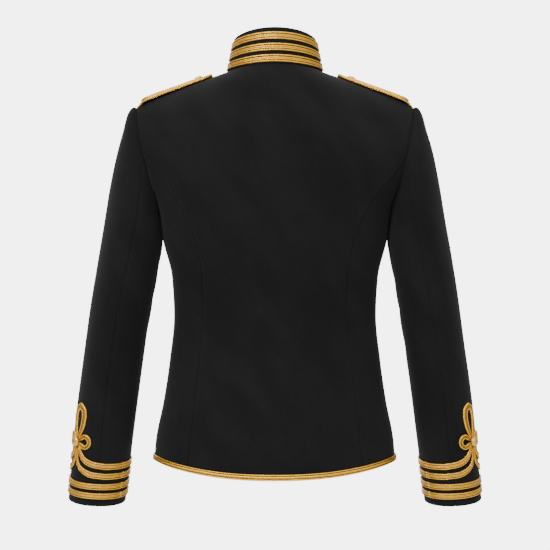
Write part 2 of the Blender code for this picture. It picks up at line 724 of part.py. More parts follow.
def add_cuff_trim(collection):
    whole_turns = sleeve_turns()[:-1] - math.radians(CUFF_AXIS_TURN)
    for name, side in (("left", 1), ("right", -1)):
        for number, height in enumerate(CUFF_ROW_HEIGHTS, start=1):
            piece = f"cuff_braid_{number}_{name}"
            if number <= 2:
                route = round_arm((ROW_ONE_RISE, ROW_TWO_RISE)[number - 1], height)
                rings = cuff_rings(*route.T, CUFF_BRAID_THICKNESS)
                add_strand(collection, piece, rings, closed=False, side=side)
            else:
                add_strand(collection, piece, level_cuff_rings(whole_turns, height), closed=True, side=side)
        knot = ((f"cuff_loop_{name}", tall_loop()), (f"cuff_curl_back_{name}", side_loop(1)),
                (f"cuff_curl_front_{name}", side_loop(-1)))
        for piece, route in knot:
            add_strand(collection, piece, cuff_rings(*route.T, LOOP_THICKNESS), closed=False, side=side)


def level_cuff_rings(turns, height):
    """A braid that runs level round the whole cuff, on the sleeve's own columns."""
    profile = np.array(FLAT_BRAID)
    along, turn = np.broadcast_arrays(CUFF_END - height - CUFF_BRAID_WIDTH * profile[:, 0],
                                      turns[:, None] + math.radians(CUFF_AXIS_TURN))
    lift = TRIM_LIFT + CUFF_BRAID_THICKNESS * profile[:, 1]
    return sleeve_point(along, turn) + sleeve_normal(along, turn) * lift[:, None]


# Buttons

def add_button(collection, name, profile, foot, direction):
    """A turned button that stands on the cloth, its axis along the cloth's outward direction."""
    mesh = bpy.data.meshes.new(name)
    points = [(radius * MILLIMETRE, 0.0, height * MILLIMETRE) for radius, height in profile]
    mesh.from_pydata(points, [(number, number + 1) for number in range(len(points) - 1)], [])
    button = add_object(collection, name, mesh, "gilt_button")
    button.location = [value * MILLIMETRE for value in foot]
    button.rotation_mode = "QUATERNION"
    button.rotation_quaternion = Vector(direction).to_track_quat("Z", "Y")
    turning = button.modifiers.new("turned", "SCREW")
    turning.steps = BUTTON_STEPS
    turning.render_steps = BUTTON_STEPS
    turning.use_merge_vertices = True
    turning.merge_threshold = BUTTON_MERGE
    turning.use_smooth_shade = True


def centre_front_point(level):
    """Point on the straight stretches between the front's own rows, at the centre."""
    rows = body_levels()
    points = body_point(rows, np.full_like(rows, 2.0 * QUARTER))
    return np.array([np.interp(level, rows, column) for column in points.T])


def add_buttons(collection):
    for number, level in enumerate(np.linspace(FRONT_BUTTON_HIGH, FRONT_BUTTON_LOW, FRONT_BUTTONS), start=1):
        direction = body_normal(np.array(level), np.array(2.0 * QUARTER))
        add_button(collection, f"front_button_{number}", FRONT_BUTTON, centre_front_point(level), direction)
    on_cuff = (np.array(CUFF_END - CUFF_BUTTON_HEIGHT), np.array(math.radians(CUFF_AXIS_TURN)))
    for name, side in (("left", 1), ("right", -1)):
        mirror = np.array((side, 1, 1))
        foot, direction = sleeve_point(*on_cuff) * mirror, sleeve_normal(*on_cuff) * mirror
        add_button(collection, f"cuff_button_{name}", CUFF_BUTTON, foot, direction)
        share = (STRAP_OUTER_X - STRAP_BUTTON_X) / (STRAP_OUTER_X - STRAP_NECK_X)
        top, up = strap_point(np.array(share), np.array(0.0), STRAP_THICKNESS)
        add_button(collection, f"epaulette_button_{name}", STRAP_BUTTON, top * mirror, up * mirror)


# Shoulder straps

def shoulder_level(x):
    """Level of the ring whose side point lies this far out on the shoulder seam."""
    levels = np.linspace(SHOULDER_LEVEL, NECK_LEVEL, SHOULDER_SAMPLES)
    widths = read_table(BODY_COLUMNS, BODY_ROWS, levels)["half_width"]
    return np.interp(-x, -widths, levels)


def strap_point(share, y, height):
    """Point above the shoulder, from the armhole, share 0, to the strap's neck end, with its direction."""
    level = shoulder_level(STRAP_OUTER_X + (STRAP_NECK_X - STRAP_OUTER_X) * share)
    row = read_table(BODY_COLUMNS, BODY_ROWS, level)
    reach = np.where(y > row["middle"], row["back"], row["front"]) - row["middle"]
    cosine = np.clip((y - row["middle"]) / reach, 0.0, 1.0) ** (0.5 * row["fullness"])
    angle = np.where(y > row["middle"], np.arccos(cosine), 2.0 * QUARTER - np.arccos(cosine))
    normal = body_normal(level, angle)
    lift = STRAP_LIFT + STRAP_END_LIFT * np.clip(share, 0.0, 1.0) ** 4 + height
    return body_point(level, angle) + normal * lift[..., None], normal


def strap_outline():
    """Stations along the strap and its half width there, with a round end near the collar."""
    straight = np.linspace(0.0, STRAP_ROUND_START, STRAP_STRAIGHT_SPACES + 1)
    bend = np.radians(STRAP_ROUND_TURNS)
    share = np.concatenate((straight, STRAP_ROUND_START + (1.0 - STRAP_ROUND_START) * np.sin(bend)))
    width = STRAP_OUTER_HALF_WIDTH + (STRAP_NECK_HALF_WIDTH - STRAP_OUTER_HALF_WIDTH) * share
    width[len(straight):] *= np.cos(bend)
    return share, width


def add_straps(collection):
    share, width = strap_outline()
    across = np.linspace(-1.0, 1.0, 2 * STRAP_HALF_SPACES + 1)
    top, normal = strap_point(share[:, None] + 0.0 * across, width[:, None] * across, STRAP_THICKNESS)
    beside = width + STRAP_CORD_RADIUS + SEAM_GAP
    lap = np.concatenate((np.arange(len(share)), np.arange(len(share))[::-1]))
    sign = np.repeat((1.0, -1.0), len(share))
    past = np.where(share > STRAP_ROUND_START, STRAP_CORD_PAST, 0.0)
    past[0] = STRAP_CORD_START
    route, _ = strap_point((share + past)[lap], sign * beside[lap], STRAP_CORD_RADIUS)
    for name, side in (("left", 1), ("right", -1)):
        add_wall(collection, f"epaulette_{name}", top, -STRAP_THICKNESS * normal, side=side)
        add_cord(collection, f"epaulette_cord_{name}", route * (side, 1, 1), STRAP_CORD_RADIUS)


def add_cord(collection, name, route, radius):
    """A round cord along a route of points."""
    curve = bpy.data.curves.new(name, "CURVE")
    curve.dimensions = "3D"
    curve.bevel_depth = radius * MILLIMETRE
    curve.bevel_resolution = 1
    curve.render_resolution_u = 0
    curve.use_fill_caps = True
    spline = curve.splines.new("POLY")
    spline.points.add(len(route) - 1)
    spline.points.foreach_set("co", np.column_stack((route * MILLIMETRE, np.ones(len(route)))).ravel())
    add_object(collection, name, curve, "gold_braid")


# Hem braid

def hem_angles():
    """Angles of the panels' columns at the hem, from the lap's edge round the back to the tucked front."""
    hem = np.array(HEM_LEVEL)
    back_end = princess_angle(hem)
    back = np.linspace(0.0, back_end, BACK_SPACES // 2 + 1)
    side = np.linspace(back_end, QUARTER, SIDE_SPACES + 1)[1:]
    front = np.linspace(QUARTER, front_angle(hem, TUCK_START), FRONT_SPACES + 1)[1:]
    left = np.concatenate((back, side, front, (front_angle(hem, TUCK_FULL),)))
    lap = [front_angle(hem, x) for x in (-LAP_OVER, 0.0)]
    return np.concatenate((-np.array(lap), -left[:0:-1], left))


def add_hem_braid(collection):
    profile = np.array(FLAT_BRAID)
    low = HEM_LEVEL - HEM_BRAID_DROP
    level, angle = np.broadcast_arrays(low + HEM_BRAID_HEIGHT * (profile[:, 0] + 0.5), hem_angles()[:, None])
    outer, normal = body_point(level, angle), body_normal(level, angle)
    on_left_front = (angle > QUARTER)
    tuck = np.where(on_left_front, tuck_amount(outer[..., 0]), 0.0)
    lift = TRIM_LIFT + HEM_BRAID_THICKNESS * profile[:, 1] - tuck
    add_strand(collection, "hem_braid", outer + normal * lift[..., None], closed=False)


def build():
    for leftover in list(bpy.data.objects):
        bpy.data.objects.remove(leftover, do_unlink=True)
    collection = new_collection("hussar_jacket")
    add_back(collection)
    add_side_backs(collection)
    add_fronts(collection)
    add_collar(collection)
    add_collar_braids(collection)
    add_sleeves(collection)
    add_cuff_trim(collection)
    add_straps(collection)
    add_buttons(collection)
    add_hem_braid(collection)


build()
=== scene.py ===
"""Hussar jacket: cloth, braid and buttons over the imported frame.

The jacket faces -Y, the wearer's left is +X and +Z is up; the origin is at the base of the neck.
Shapes are worked out in millimetres and turned into metres as they become meshes.

Body: rings round the jacket, one at each level; angle 0 is the centre back, 90 degrees the wearer's
left side and 180 the centre front. Sleeve: rings that fan out from the armhole and follow the arm;
turn 0 is the outer side of the arm, 90 degrees its back and 180 its inner side. Pieces are worked
out for the wearer's left, and side -1 gives the right-hand one.
"""

import math
from functools import partial

import bmesh
import bpy
import numpy as np
from bpy.props import FloatProperty, FloatVectorProperty, PointerProperty
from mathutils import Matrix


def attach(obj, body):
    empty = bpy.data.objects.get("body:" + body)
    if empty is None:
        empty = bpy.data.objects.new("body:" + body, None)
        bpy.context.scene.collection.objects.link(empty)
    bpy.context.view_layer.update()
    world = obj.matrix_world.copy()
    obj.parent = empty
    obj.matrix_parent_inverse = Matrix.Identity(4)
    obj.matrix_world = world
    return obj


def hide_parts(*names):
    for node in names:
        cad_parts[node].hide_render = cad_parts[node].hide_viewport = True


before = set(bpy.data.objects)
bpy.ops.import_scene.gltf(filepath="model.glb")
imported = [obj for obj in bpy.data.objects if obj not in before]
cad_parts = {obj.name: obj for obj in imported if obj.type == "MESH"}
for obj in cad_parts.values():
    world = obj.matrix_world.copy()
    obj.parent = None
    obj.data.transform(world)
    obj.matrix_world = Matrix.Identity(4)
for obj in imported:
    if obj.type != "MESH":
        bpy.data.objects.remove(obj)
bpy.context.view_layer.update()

bl_info = {
    "name": "Hussar jacket",
    "version": (1, 0, 0),
    "blender": (4, 5, 0),
    "location": "3D View > Sidebar > Jacket",
    "description": "Dresses the packed jacket with wool cloth, gold braid and gilt buttons",
    "category": "Add Mesh",
}

MILLIMETRE = 0.001
QUARTER = 0.5 * math.pi
WHOLE_TURN = 2.0 * math.pi
SIDES = (("left", 1), ("right", -1))

# Cloth and seams
CLOTH = 2.0
EDGE_BULGE = 0.8
LAP_BULGE = 0.7
COLLAR_END_BULGE = 0.5
STRAP_BULGE = 0.3
SEAM_GAP = 0.01
SEAM_HALF_WIDTH = 1.1
SEAM_DIP = 1.2
SEAM_FADE = 12.0
ARMHOLE_DIP = 1.3
COLLAR_SEAM_DIP = 0.6
COLLAR_SEAM_HALF_WIDTH = 1.5
ALLOWANCE_HEIGHT = 0.16
ALLOWANCE_PLACE = 6.0
ALLOWANCE_HALF_WIDTH = 3.2
TRIM_LIFT = 0.3

# Levels of the body's main sections
NECK_LEVEL = 0.0
SHOULDER_LEVEL = -50.0
UNDERARM_LEVEL = -197.0
HEM_LEVEL = -547.0
WAIST_LEVEL = -344.0

# Rows and columns of the cloth panels
LOW_SPACES = 92
ARMHOLE_SPACES = 48
HIGH_SPACES = 14
BACK_SEAM_SPACE = 24
FRONT_SEAM_SPACE = 36
BACK_COLUMNS_COUNT = 104
SIDE_COLUMNS_COUNT = 36
FRONT_COLUMNS_COUNT = 60
STRIP_COLUMNS_COUNT = 18
COLLAR_ROWS_COUNT = 22
COLLAR_HALF_COUNT = 110
SLEEVE_ROWS_COUNT = 116

# How much of its last row's height a side back keeps, where it ends in a short edge at the armhole
SIDE_BACK_TOP_SHARE = 0.86

# Body sections; depths are measured from the centre plane of the shoulders, rises from the level.
# The fall is how much lower a ring runs halfway between its back or front and its side.
BODY_COLUMNS = ("level", "half_width", "back", "middle", "front", "back_rise", "front_rise", "fall",
                "fullness")
BODY_ROWS = (
    (-547.0, 170.5, 104.0, -2.0, -112.0, -22.0, -13.0, 0.0, 2.30),
    (-521.0, 168.6, 101.0, -2.0, -111.0, -19.0, -11.0, 0.0, 2.30),
    (-465.0, 157.8, 93.0, -4.0, -108.0, -14.0, -7.0, 0.0, 2.30),
    (-410.0, 149.8, 82.0, -7.0, -104.0, -9.0, -4.0, 0.0, 2.32),
    (-344.0, 143.4, 74.0, -8.0, -102.0, -5.0, -2.0, 0.0, 2.35),
    (-290.0, 146.3, 81.0, -7.0, -114.0, -2.0, -1.0, 0.0, 2.38),
    (-237.0, 159.0, 92.0, -5.0, -122.0, 0.0, -3.0, 0.0, 2.40),
    (-197.0, 165.0, 98.0, -3.0, -119.0, 2.0, -8.0, 0.0, 2.38),
    (-150.0, 190.0, 101.0, -1.0, -111.0, 4.0, -19.0, 4.0, 2.32),
    (-99.0, 201.0, 96.0, 1.0, -99.0, 7.0, -34.0, 14.0, 2.25),
    (-75.0, 200.0, 90.0, 2.0, -91.0, 9.0, -41.0, 22.0, 2.20),
    (-50.0, 195.4, 81.0, 2.0, -82.0, 10.0, -48.0, 26.0, 2.12),
    (-42.0, 186.0, 78.0, 2.0, -79.0, 10.0, -49.0, 22.0, 2.10),
    (-20.0, 128.0, 70.0, 2.0, -71.0, 9.0, -52.0, 9.0, 2.05),
    (0.0, 67.3, 59.0, 2.0, -62.0, 7.0, -55.0, 0.0, 2.00),
)

# Princess seams: how far the seam lies from the centre back at each level
PRINCESS_COLUMNS = ("level", "from_centre")
PRINCESS_ROWS = (
    (-547.0, 121.0),
    (-425.0, 107.5),
    (-382.0, 103.0),
    (-333.0, 99.5),
    (-292.0, 100.5),
    (-246.0, 108.0),
    (-200.0, 127.5),
    (-160.0, 154.0),
    (-142.5, 168.0),
    (-123.5, 181.4),
)

# Armhole: an oval in level and angle, wider at its lower half
ARMHOLE_BACK_SPREAD = 25.0
ARMHOLE_FRONT_SPREAD = 31.0
ARMHOLE_LEAN = 0.1

# Front closure: the wearer's right front laps over the left one
LAP_OVER = 18.0
LAP_UNDER = 12.0
TUCK_DEPTH = 2.7
TUCK_START = 36.0
TUCK_FULL = 19.5

# Collar
COLLAR_TOP_HALF_WIDTH = 58.2
COLLAR_TOP_BACK = 52.0
COLLAR_TOP_FRONT = -60.0
COLLAR_TOP_SIDE_HEIGHT = 45.3
COLLAR_TOP_BACK_HEIGHT = 58.8
COLLAR_TOP_FRONT_HEIGHT = -12.0
COLLAR_TOP_POWER = 1.3
COLLAR_FRONT_GAP = 1.4
COLLAR_BRAID_PLACES = (0.781, 0.470, 0.161)
COLLAR_BRAID_SHARE = 0.203
COLLAR_BRAID_THICKNESS = 2.0
COLLAR_BRAID_STATIONS = 300

# Sleeve sections, from the armhole to the cuff; along is measured down the arm's outer side
SLEEVE_COLUMNS = ("along", "outer_x", "outer_z", "inner_x", "inner_z", "middle", "half_depth",
                  "armhole_share", "back_tilt", "seam_turn")
SLEEVE_ROWS = (
    (0.0, 195.4, -50.0, 165.0, -197.0, -2.0, 54.0, 1.00, 0.0, 0.0),
    (6.0, 200.5, -49.0, 164.9, -199.0, -2.0, 55.0, 0.95, 0.0, 1.5),
    (16.0, 208.0, -57.0, 164.7, -202.0, -2.0, 57.0, 0.80, 0.0, 4.0),
    (42.0, 215.0, -82.0, 163.9, -208.0, -2.0, 60.0, 0.50, 0.0, 8.5),
    (86.0, 226.3, -124.0, 162.7, -217.0, -1.0, 63.0, 0.20, 0.0, 10.5),
    (130.0, 234.5, -166.0, 161.2, -228.0, 0.0, 64.5, 0.05, 0.0, 9.5),
    (172.0, 241.5, -209.0, 159.5, -240.0, 0.0, 64.5, 0.00, 0.0, 6.5),
    (214.0, 248.5, -250.0, 161.4, -256.0, 1.0, 63.0, 0.00, 0.0, 4.5),
    (285.0, 259.9, -320.0, 173.6, -326.0, 2.0, 60.0, 0.00, 0.01, 1.0),
    (356.0, 269.8, -391.0, 185.0, -396.0, 1.0, 56.0, 0.00, 0.05, 0.0),
    (429.0, 280.2, -463.0, 195.2, -467.0, -7.0, 52.0, 0.00, 0.11, 0.5),
    (500.0, 288.6, -534.0, 204.7, -538.0, -18.0, 48.5, 0.00, 0.14, 0.5),
    (572.0, 295.6, -605.0, 214.0, -609.0, -29.0, 45.5, 0.00, 0.14, 0.5),
)
SLEEVE_FULLNESS = 2.12
CUFF_END = 572.0

# Creases of the body: each runs from one place to another, bows sideways and fades at its ends
CREASE_COLUMNS = ("x", "level", "end_x", "end_level", "bow", "half_width", "height")
BACK_CREASES = (
    (143.0, -118.0, 108.0, -206.0, -5.0, 12.0, -3.2),
    (-146.0, -112.0, -112.0, -210.0, 6.0, 11.0, -2.7),
    (112.0, -160.0, 101.0, -300.0, 3.0, 9.0, -1.0),
    (88.0, -178.0, 92.0, -312.0, -4.0, 13.0, 0.8),
    (-66.0, -170.0, -82.0, -318.0, 4.0, 12.0, 0.9),
    (-92.0, -196.0, -98.0, -300.0, 0.0, 9.0, -0.8),
    (52.0, -404.0, -20.0, -316.0, 5.0, 17.0, 2.0),
    (108.0, -378.0, 14.0, -430.0, -7.0, 14.0, -1.9),
    (-26.0, -432.0, -82.0, -344.0, -6.0, 15.0, -2.2),
    (66.0, -258.0, 18.0, -306.0, 4.0, 15.0, -1.3),
    (-18.0, -262.0, -66.0, -332.0, 5.0, 14.0, -1.0),
    (30.0, -330.0, 98.0, -352.0, 4.0, 10.0, -1.2),
    (-40.0, -336.0, -100.0, -352.0, -4.0, 9.0, -1.0),
    (40.0, -70.0, 46.0, -170.0, 3.0, 20.0, 0.9),
    (-34.0, -84.0, -48.0, -178.0, -4.0, 18.0, 0.8),
)
FRONT_CREASES = (
    (138.0, -128.0, 104.0, -214.0, -6.0, 12.0, -2.4),
    (-136.0, -124.0, -106.0, -210.0, 6.0, 12.0, -2.2),
    (24.0, -330.0, 108.0, -318.0, 4.0, 9.0, -1.2),
    (24.0, -346.0, 116.0, -362.0, -4.0, 10.0, -1.4),
    (-24.0, -336.0, -112.0, -322.0, -4.0, 9.0, -1.3),
    (-26.0, -350.0, -118.0, -368.0, 4.0, 10.0, -1.2),
    (30.0, -410.0, 92.0, -446.0, 4.0, 13.0, -1.0),
    (-34.0, -404.0, -96.0, -440.0, -4.0, 13.0, -1.2),
    (40.0, -250.0, 96.0, -232.0, 5.0, 12.0, -0.9),
    (-38.0, -256.0, -98.0, -236.0, -5.0, 12.0, -0.8),
    (60.0, -90.0, 40.0, -190.0, 4.0, 20.0, 0.9),
    (-58.0, -92.0, -42.0, -184.0, -4.0, 20.0, 0.9),
)

# Creases of a sleeve, by distance along the arm and turn in degrees
SLEEVE_CREASE_COLUMNS = ("along", "turn", "end_along", "end_turn", "bow", "half_width", "height")
SLEEVE_CREASES = (
    (14.0, 140.0, 175.0, 122.0, 7.0, 10.0, -1.9),
    (22.0, 205.0, 150.0, 232.0, -5.0, 11.0, -2.0),
    (60.0, 78.0, 250.0, 70.0, 6.0, 14.0, 0.9),
    (120.0, 96.0, 300.0, 104.0, -5.0, 11.0, -0.9),
    (205.0, 168.0, 296.0, 250.0, 8.0, 9.0, -1.8),
    (252.0, 160.0, 322.0, 262.0, 7.0, 8.0, -1.4),
    (304.0, 170.0, 372.0, 240.0, 5.0, 10.0, -1.2),
    (282.0, 128.0, 408.0, 96.0, -6.0, 13.0, -1.0),
    (330.0, 60.0, 470.0, 74.0, 5.0, 14.0, -0.8),
    (392.0, 150.0, 500.0, 138.0, 4.0, 12.0, -0.9),
    (8.0, 40.0, 90.0, 20.0, 4.0, 14.0, 0.7),
)
# Swellings of both sleeves on the inner side, which presses against the body below the armhole
SLEEVE_PRESSED = (
    (50.0, 180.0, 182.0, 180.0, 0.0, 28.0, 2.4),
    (2.0, 180.0, 92.0, 180.0, 0.0, 28.0, 1.2),
)
MILLIMETRES_A_DEGREE = 0.87
RIGHT_SLEEVE_SHIFT = 13.0
RIGHT_SLEEVE_TURN = -7.0

# Slow ripple of the body: its height, and the lengths of its waves across, down and of its sway
BODY_RIPPLE = 0.12
RIPPLE_ACROSS = 29.0
RIPPLE_DOWN = 88.0
RIPPLE_START = 0.5
RIPPLE_SWAY = 1.3
RIPPLE_SWAY_DOWN = 61.0

# How sharply the back's creases give way to the front's at the side
SIDE_CHANGE = 4.0

# Flutes that grow towards the hem: height, number round the body and start of each kind
FLUTES = ((0.45, 7.0, 0.8), (0.25, 11.0, 2.1))

# Slow ripple of a sleeve, and how far from each end and from the neckline the cloth lies calm
SLEEVE_RIPPLE = 0.35
SLEEVE_RIPPLE_LENGTH = 37.0
SLEEVE_RIPPLE_DRIFT = 90.0
NECK_CALM = 40.0
ARMHOLE_CALM = 30.0
CUFF_CALM = 120.0

# Braid profiles: ribs across the width, each from one place to the next with its own height
FLAT_RIBS = ((-0.5, -0.26, 1.0), (-0.26, -0.02, 0.86), (-0.02, 0.24, 0.82), (0.24, 0.5, 1.0))
HEM_RIBS = ((-0.5, -0.2, 0.86), (-0.2, 0.26, 1.0), (0.26, 0.5, 0.78))
LOOP_RIBS = ((-0.5, -0.14, 1.0), (-0.14, 0.14, 0.78), (0.14, 0.5, 1.0))
RIB_SPACES = 8
RIB_FLOOR = 0.42
BACK_POINTS = 4

# Cuff braid: four rows, measured up from the cuff's edge
CUFF_ROW_HEIGHTS = (58.0, 43.6, 28.4, 14.7)
CUFF_BRAID_WIDTH = 8.6
CUFF_BRAID_THICKNESS = 2.0
CUFF_AXIS_TURN = 39.5
CUFF_ARC = 46.0
CUFF_STATIONS = 250
CUFF_JOIN_ACROSS = 80.0
CUFF_JOIN_LAP = 0.6
CUFF_JOIN_LAP_PLACE = -1.0
CUFF_JOIN_LAP_WIDTH = 0.9
CUFF_JOIN_STEP = 2.8
CUFF_JOIN_STEP_PLACE = 1.4
CUFF_JOIN_STEP_WIDTH = 1.2
CUFF_JOIN_STATIONS = (-4.0, -3.2, -2.6, -2.0, -1.4, -0.8, -0.3, 0.1, 0.5, 0.9, 1.3, 1.7, 2.2, 2.8, 3.6)

# Routes on the cuff: distance round from the knot's axis, height above the cuff's edge, braid width
ROW_ONE_RISE = (
    (46.0, 58.6, 8.6),
    (37.0, 59.5, 8.6),
    (29.5, 60.9, 8.6),
    (22.0, 63.4, 8.4),
    (14.5, 68.0, 7.4),
    (8.4, 75.6, 5.8),
    (4.6, 82.6, 4.4),
    (3.0, 87.0, 3.4),
)
ROW_TWO_RISE = (
    (46.0, 44.2, 8.6),
    (34.0, 45.0, 8.6),
    (25.0, 46.7, 8.4),
    (16.5, 50.0, 7.6),
    (9.2, 54.6, 6.6),
    (4.8, 60.5, 5.4),
    (2.7, 67.5, 4.5),
    (2.35, 75.0, 4.1),
    (2.2, 80.5, 3.6),
)
TALL_LOOP_HALF = (
    (2.3, 91.8, 3.9),
    (3.0, 96.8, 4.8),
    (5.4, 103.5, 6.6),
    (8.4, 113.5, 8.2),
    (9.5, 123.5, 8.6),
    (7.6, 133.2, 8.8),
    (0.0, 139.4, 9.0),
)
# The two upper rows rise to the button; the two lower ones go straight round
CUFF_ROW_RISES = (ROW_ONE_RISE, ROW_TWO_RISE, None, None)
ROUTE_STATIONS = 70
LOOP_THICKNESS = 2.2

# Side loops of the knot: most of a ring each, with both ends drawn in beneath the button
SIDE_LOOP_ACROSS = 15.4
SIDE_LOOP_HEIGHT = 90.8
SIDE_LOOP_RADIUS = 7.5
SIDE_LOOP_WIDTH = 6.4
SIDE_LOOP_FROM = -132.0
SIDE_LOOP_TO = 136.0
SIDE_LOOP_STATIONS = 60
SIDE_LOOP_END_STATIONS = 14
SIDE_LOOP_LIFT = 0.2
SIDE_LOOP_LOW_END = ((3.4, 88.6, 3.0), (6.6, 87.2, 4.2))
SIDE_LOOP_HIGH_END = ((6.6, 93.6, 4.2), (3.4, 92.4, 3.0))

# Buttons: turned profiles, from the top of the dome down to the foot of the shank
BUTTON_STEPS = 72
BUTTON_FINE = 8
CUFF_BUTTON_HEIGHT = 89.5
BUTTON_RIM = 3
CUFF_BUTTON = ((0.0, 9.2), (3.6, 8.6), (6.2, 6.9), (7.1, 4.6), (6.4, 3.1), (1.0, 3.0), (1.0, 0.4),
               (0.0, 0.4))
STRAP_BUTTON = ((0.0, 5.3), (3.2, 4.9), (5.5, 3.7), (6.3, 2.1), (5.6, 1.1), (1.5, 0.9), (1.5, 0.4),
                (0.0, 0.4))
FRONT_BUTTON = ((0.0, 11.4), (3.9, 10.7), (6.7, 8.2), (7.4, 5.4), (6.0, 2.6), (1.6, 1.5), (1.6, 0.4),
                (0.0, 0.4))
FRONT_BUTTONS = 7
FRONT_BUTTON_HIGH = -32.0
FRONT_BUTTON_LOW = -478.0

# Worked buttonholes: a thread round a slit that starts at each front button
BUTTONHOLE_STEPS = 72
BUTTONHOLE_MIDDLE = 3.5
BUTTONHOLE_HALF_LENGTH = 9.5
BUTTONHOLE_HALF_HEIGHT = 1.3
BUTTONHOLE_ROUND = 0.75
BUTTONHOLE_LIFT = 0.35
BUTTONHOLE_RADIUS = 0.55

# Shoulder straps, from the armhole to a round end near the collar
STRAP_OUTER_X = 191.0
STRAP_NECK_X = 92.0
STRAP_OUTER_HALF_WIDTH = 20.0
STRAP_NECK_HALF_WIDTH = 17.0
STRAP_ROUND_START = 0.84
STRAP_THICKNESS = 2.2
STRAP_LIFT = 0.9
STRAP_EDGE_LIFT = 3.0
STRAP_EDGE_LIMIT = 1.2
STRAP_END_HEIGHT = 0.25
STRAP_END_FROM = -0.06
STRAP_END_RUN = 0.16
STRAP_TIP_HALF_WIDTH = 0.6
STRAP_BUTTON_X = 107.0
STRAP_CORD_RADIUS = 2.2
STRAP_CORD_START = -0.06
STRAP_CORD_GAP = 0.3
STRAP_CORD_DRAW = 0.4
STRAP_CORD_DRAW_END = 0.14
STRAP_CORD_PAST = 0.022
STRAP_CORD_PAST_FROM = 0.5
STRAP_CORD_SWELL = 1.05
STRAP_CORD_TAPER = 0.55
STRAP_CORD_STRAIGHT = 220
STRAP_CORD_ROUND = 90
STRAP_CORD_SINK = 0.1
STRAP_THIN_FROM = 0.035
STRAP_THIN_TO = 0.83
STRAP_THIN_STATIONS = 420
STRAP_INNER_INSET = 2.4
STRAP_INNER_RADIUS = 1.6
STRAP_WAVE_INSET = 5.9
STRAP_WAVE_SWING = 1.0
STRAP_WAVE_RADIUS = 1.0
STRAP_WAVES = 17.0
STRAP_COLUMNS_COUNT = 24
STRAP_ROWS_COUNT = 56
STRAP_ROUND_ROWS = 14
SHOULDER_SAMPLES = 201

# Twists of round cords: lobes, pitch, depth of the groove between lobes and steps round
EDGE_CORD_TWIST = (3, 8.4, 0.24, 18)
INNER_CORD_TWIST = (2, 5.2, 0.22, 12)
WAVE_CORD_TWIST = (2, 4.2, 0.22, 12)
BUTTONHOLE_TWIST = (2, 2.4, 0.25, 8)

# Hem braid
HEM_BRAID_HEIGHT = 7.7
HEM_BRAID_DROP = 0.6
HEM_BRAID_THICKNESS = 2.6
HEM_BRAID_STATIONS = 620
HEM_LAP_STATIONS = 24

# Small steps over which a surface's direction is measured, in millimetres and radians
NEAR = 1.0
NEAR_TURN = 0.01

# Soft square lights: name, place and size; each looks at the middle of the jacket
LIGHTS = (
    ("key", (1.5, 2.6, 1.5), 1.2),
    ("fill", (-2.2, 2.4, 0.3), 2.2),
    ("top", (0.0, 0.3, 2.2), 1.8),
    ("front", (0.4, -2.8, 1.0), 2.0),
)
JACKET_MIDDLE = (0.0, 0.0, -0.28)
WHITE = (1.0, 1.0, 1.0, 1.0)
LOW_ROOM_COLOUR = (0.34, 0.34, 0.36, 1.0)
FLOOR_COLOUR = (0.86, 0.86, 0.86, 1.0)
FLOOR_STEPS = 96
CAMERA_CLIP = 50.0


# Tables and vectors

def smooth_curve(knots, values, at):
    """Value at each place on the smooth curve through a table's column, with no overshoot."""
    steps = np.diff(knots)
    slopes = np.diff(values) / steps
    same_way = slopes[:-1] * slopes[1:] > 0
    total = np.where(same_way, slopes[:-1] + slopes[1:], 1.0)
    inner = np.where(same_way, 2.0 * slopes[:-1] * slopes[1:] / total, 0.0)
    tangents = np.concatenate(([slopes[0]], inner, [slopes[-1]]))
    at = np.clip(at, knots[0], knots[-1])
    place = np.clip(np.searchsorted(knots, at, side="right") - 1, 0, len(steps) - 1)
    width = steps[place]
    part = (at - knots[place]) / width
    rise = part * part * (3.0 - 2.0 * part)
    ease_in = part * (1.0 - part) ** 2 * width
    ease_out = part * part * (part - 1.0) * width
    return (values[place] * (1.0 - rise) + values[place + 1] * rise
            + tangents[place] * ease_in + tangents[place + 1] * ease_out)


def read_table(columns, rows, at):
    """Every column of a table at the given places, by name; the first column is the place."""
    numbers = np.array(rows)
    knots = numbers[:, 0]
    return {name: smooth_curve(knots, numbers[:, number], at)
            for number, name in enumerate(columns) if number}


def unit(vectors):
    return vectors / np.maximum(np.linalg.norm(vectors, axis=-1, keepdims=True), 1e-12)


def signed_power(values, power):
    return np.sign(values) * np.abs(values) ** power


def stack(x, y, z):
    return np.stack(np.broadcast_arrays(x, y, z), axis=-1).astype(float)


def ease(part):
    """Smooth step from 0 to 1: three times the square less twice the cube."""
    part = np.clip(part, 0.0, 1.0)
    return part * part * (3.0 - 2.0 * part)


def shares(count, first=True, last=True, closeness=0.88, reach=8):
    """Even shares from 0 to 1, drawn together at the wanted ends so that an edge can be rounded."""
    share = np.linspace(0.0, 1.0, count + 1)
    if first:
        share = share * (1.0 - closeness * (1.0 - share) ** reach)
    if last:
        back = 1.0 - share
        share = 1.0 - back * (1.0 - closeness * (1.0 - back) ** reach)
    return share


# Creases

def crease_height(columns, rows, first, second, first_scale=1.0, second_scale=1.0):
    """Sum of all creases: a bell across each one's bowed line, times a squared half wave along it."""
    total = np.zeros(np.broadcast(first, second).shape)
    for row in rows:
        crease = dict(zip(columns, row))
        start_a, start_b, end_a, end_b = row[:4]
        run_a, run_b = (end_a - start_a) * first_scale, (end_b - start_b) * second_scale
        length = math.hypot(run_a, run_b)
        from_a, from_b = (first - start_a) * first_scale, (second - start_b) * second_scale
        share = np.clip((from_a * run_a + from_b * run_b) / length ** 2, 0.0, 1.0)
        off = (from_a * run_b - from_b * run_a) / length - crease["bow"] * 4.0 * share * (1.0 - share)
        bell = np.exp(-(off / crease["half_width"]) ** 2)
        total = total + crease["height"] * bell * np.sin(math.pi * share) ** 2
    return total


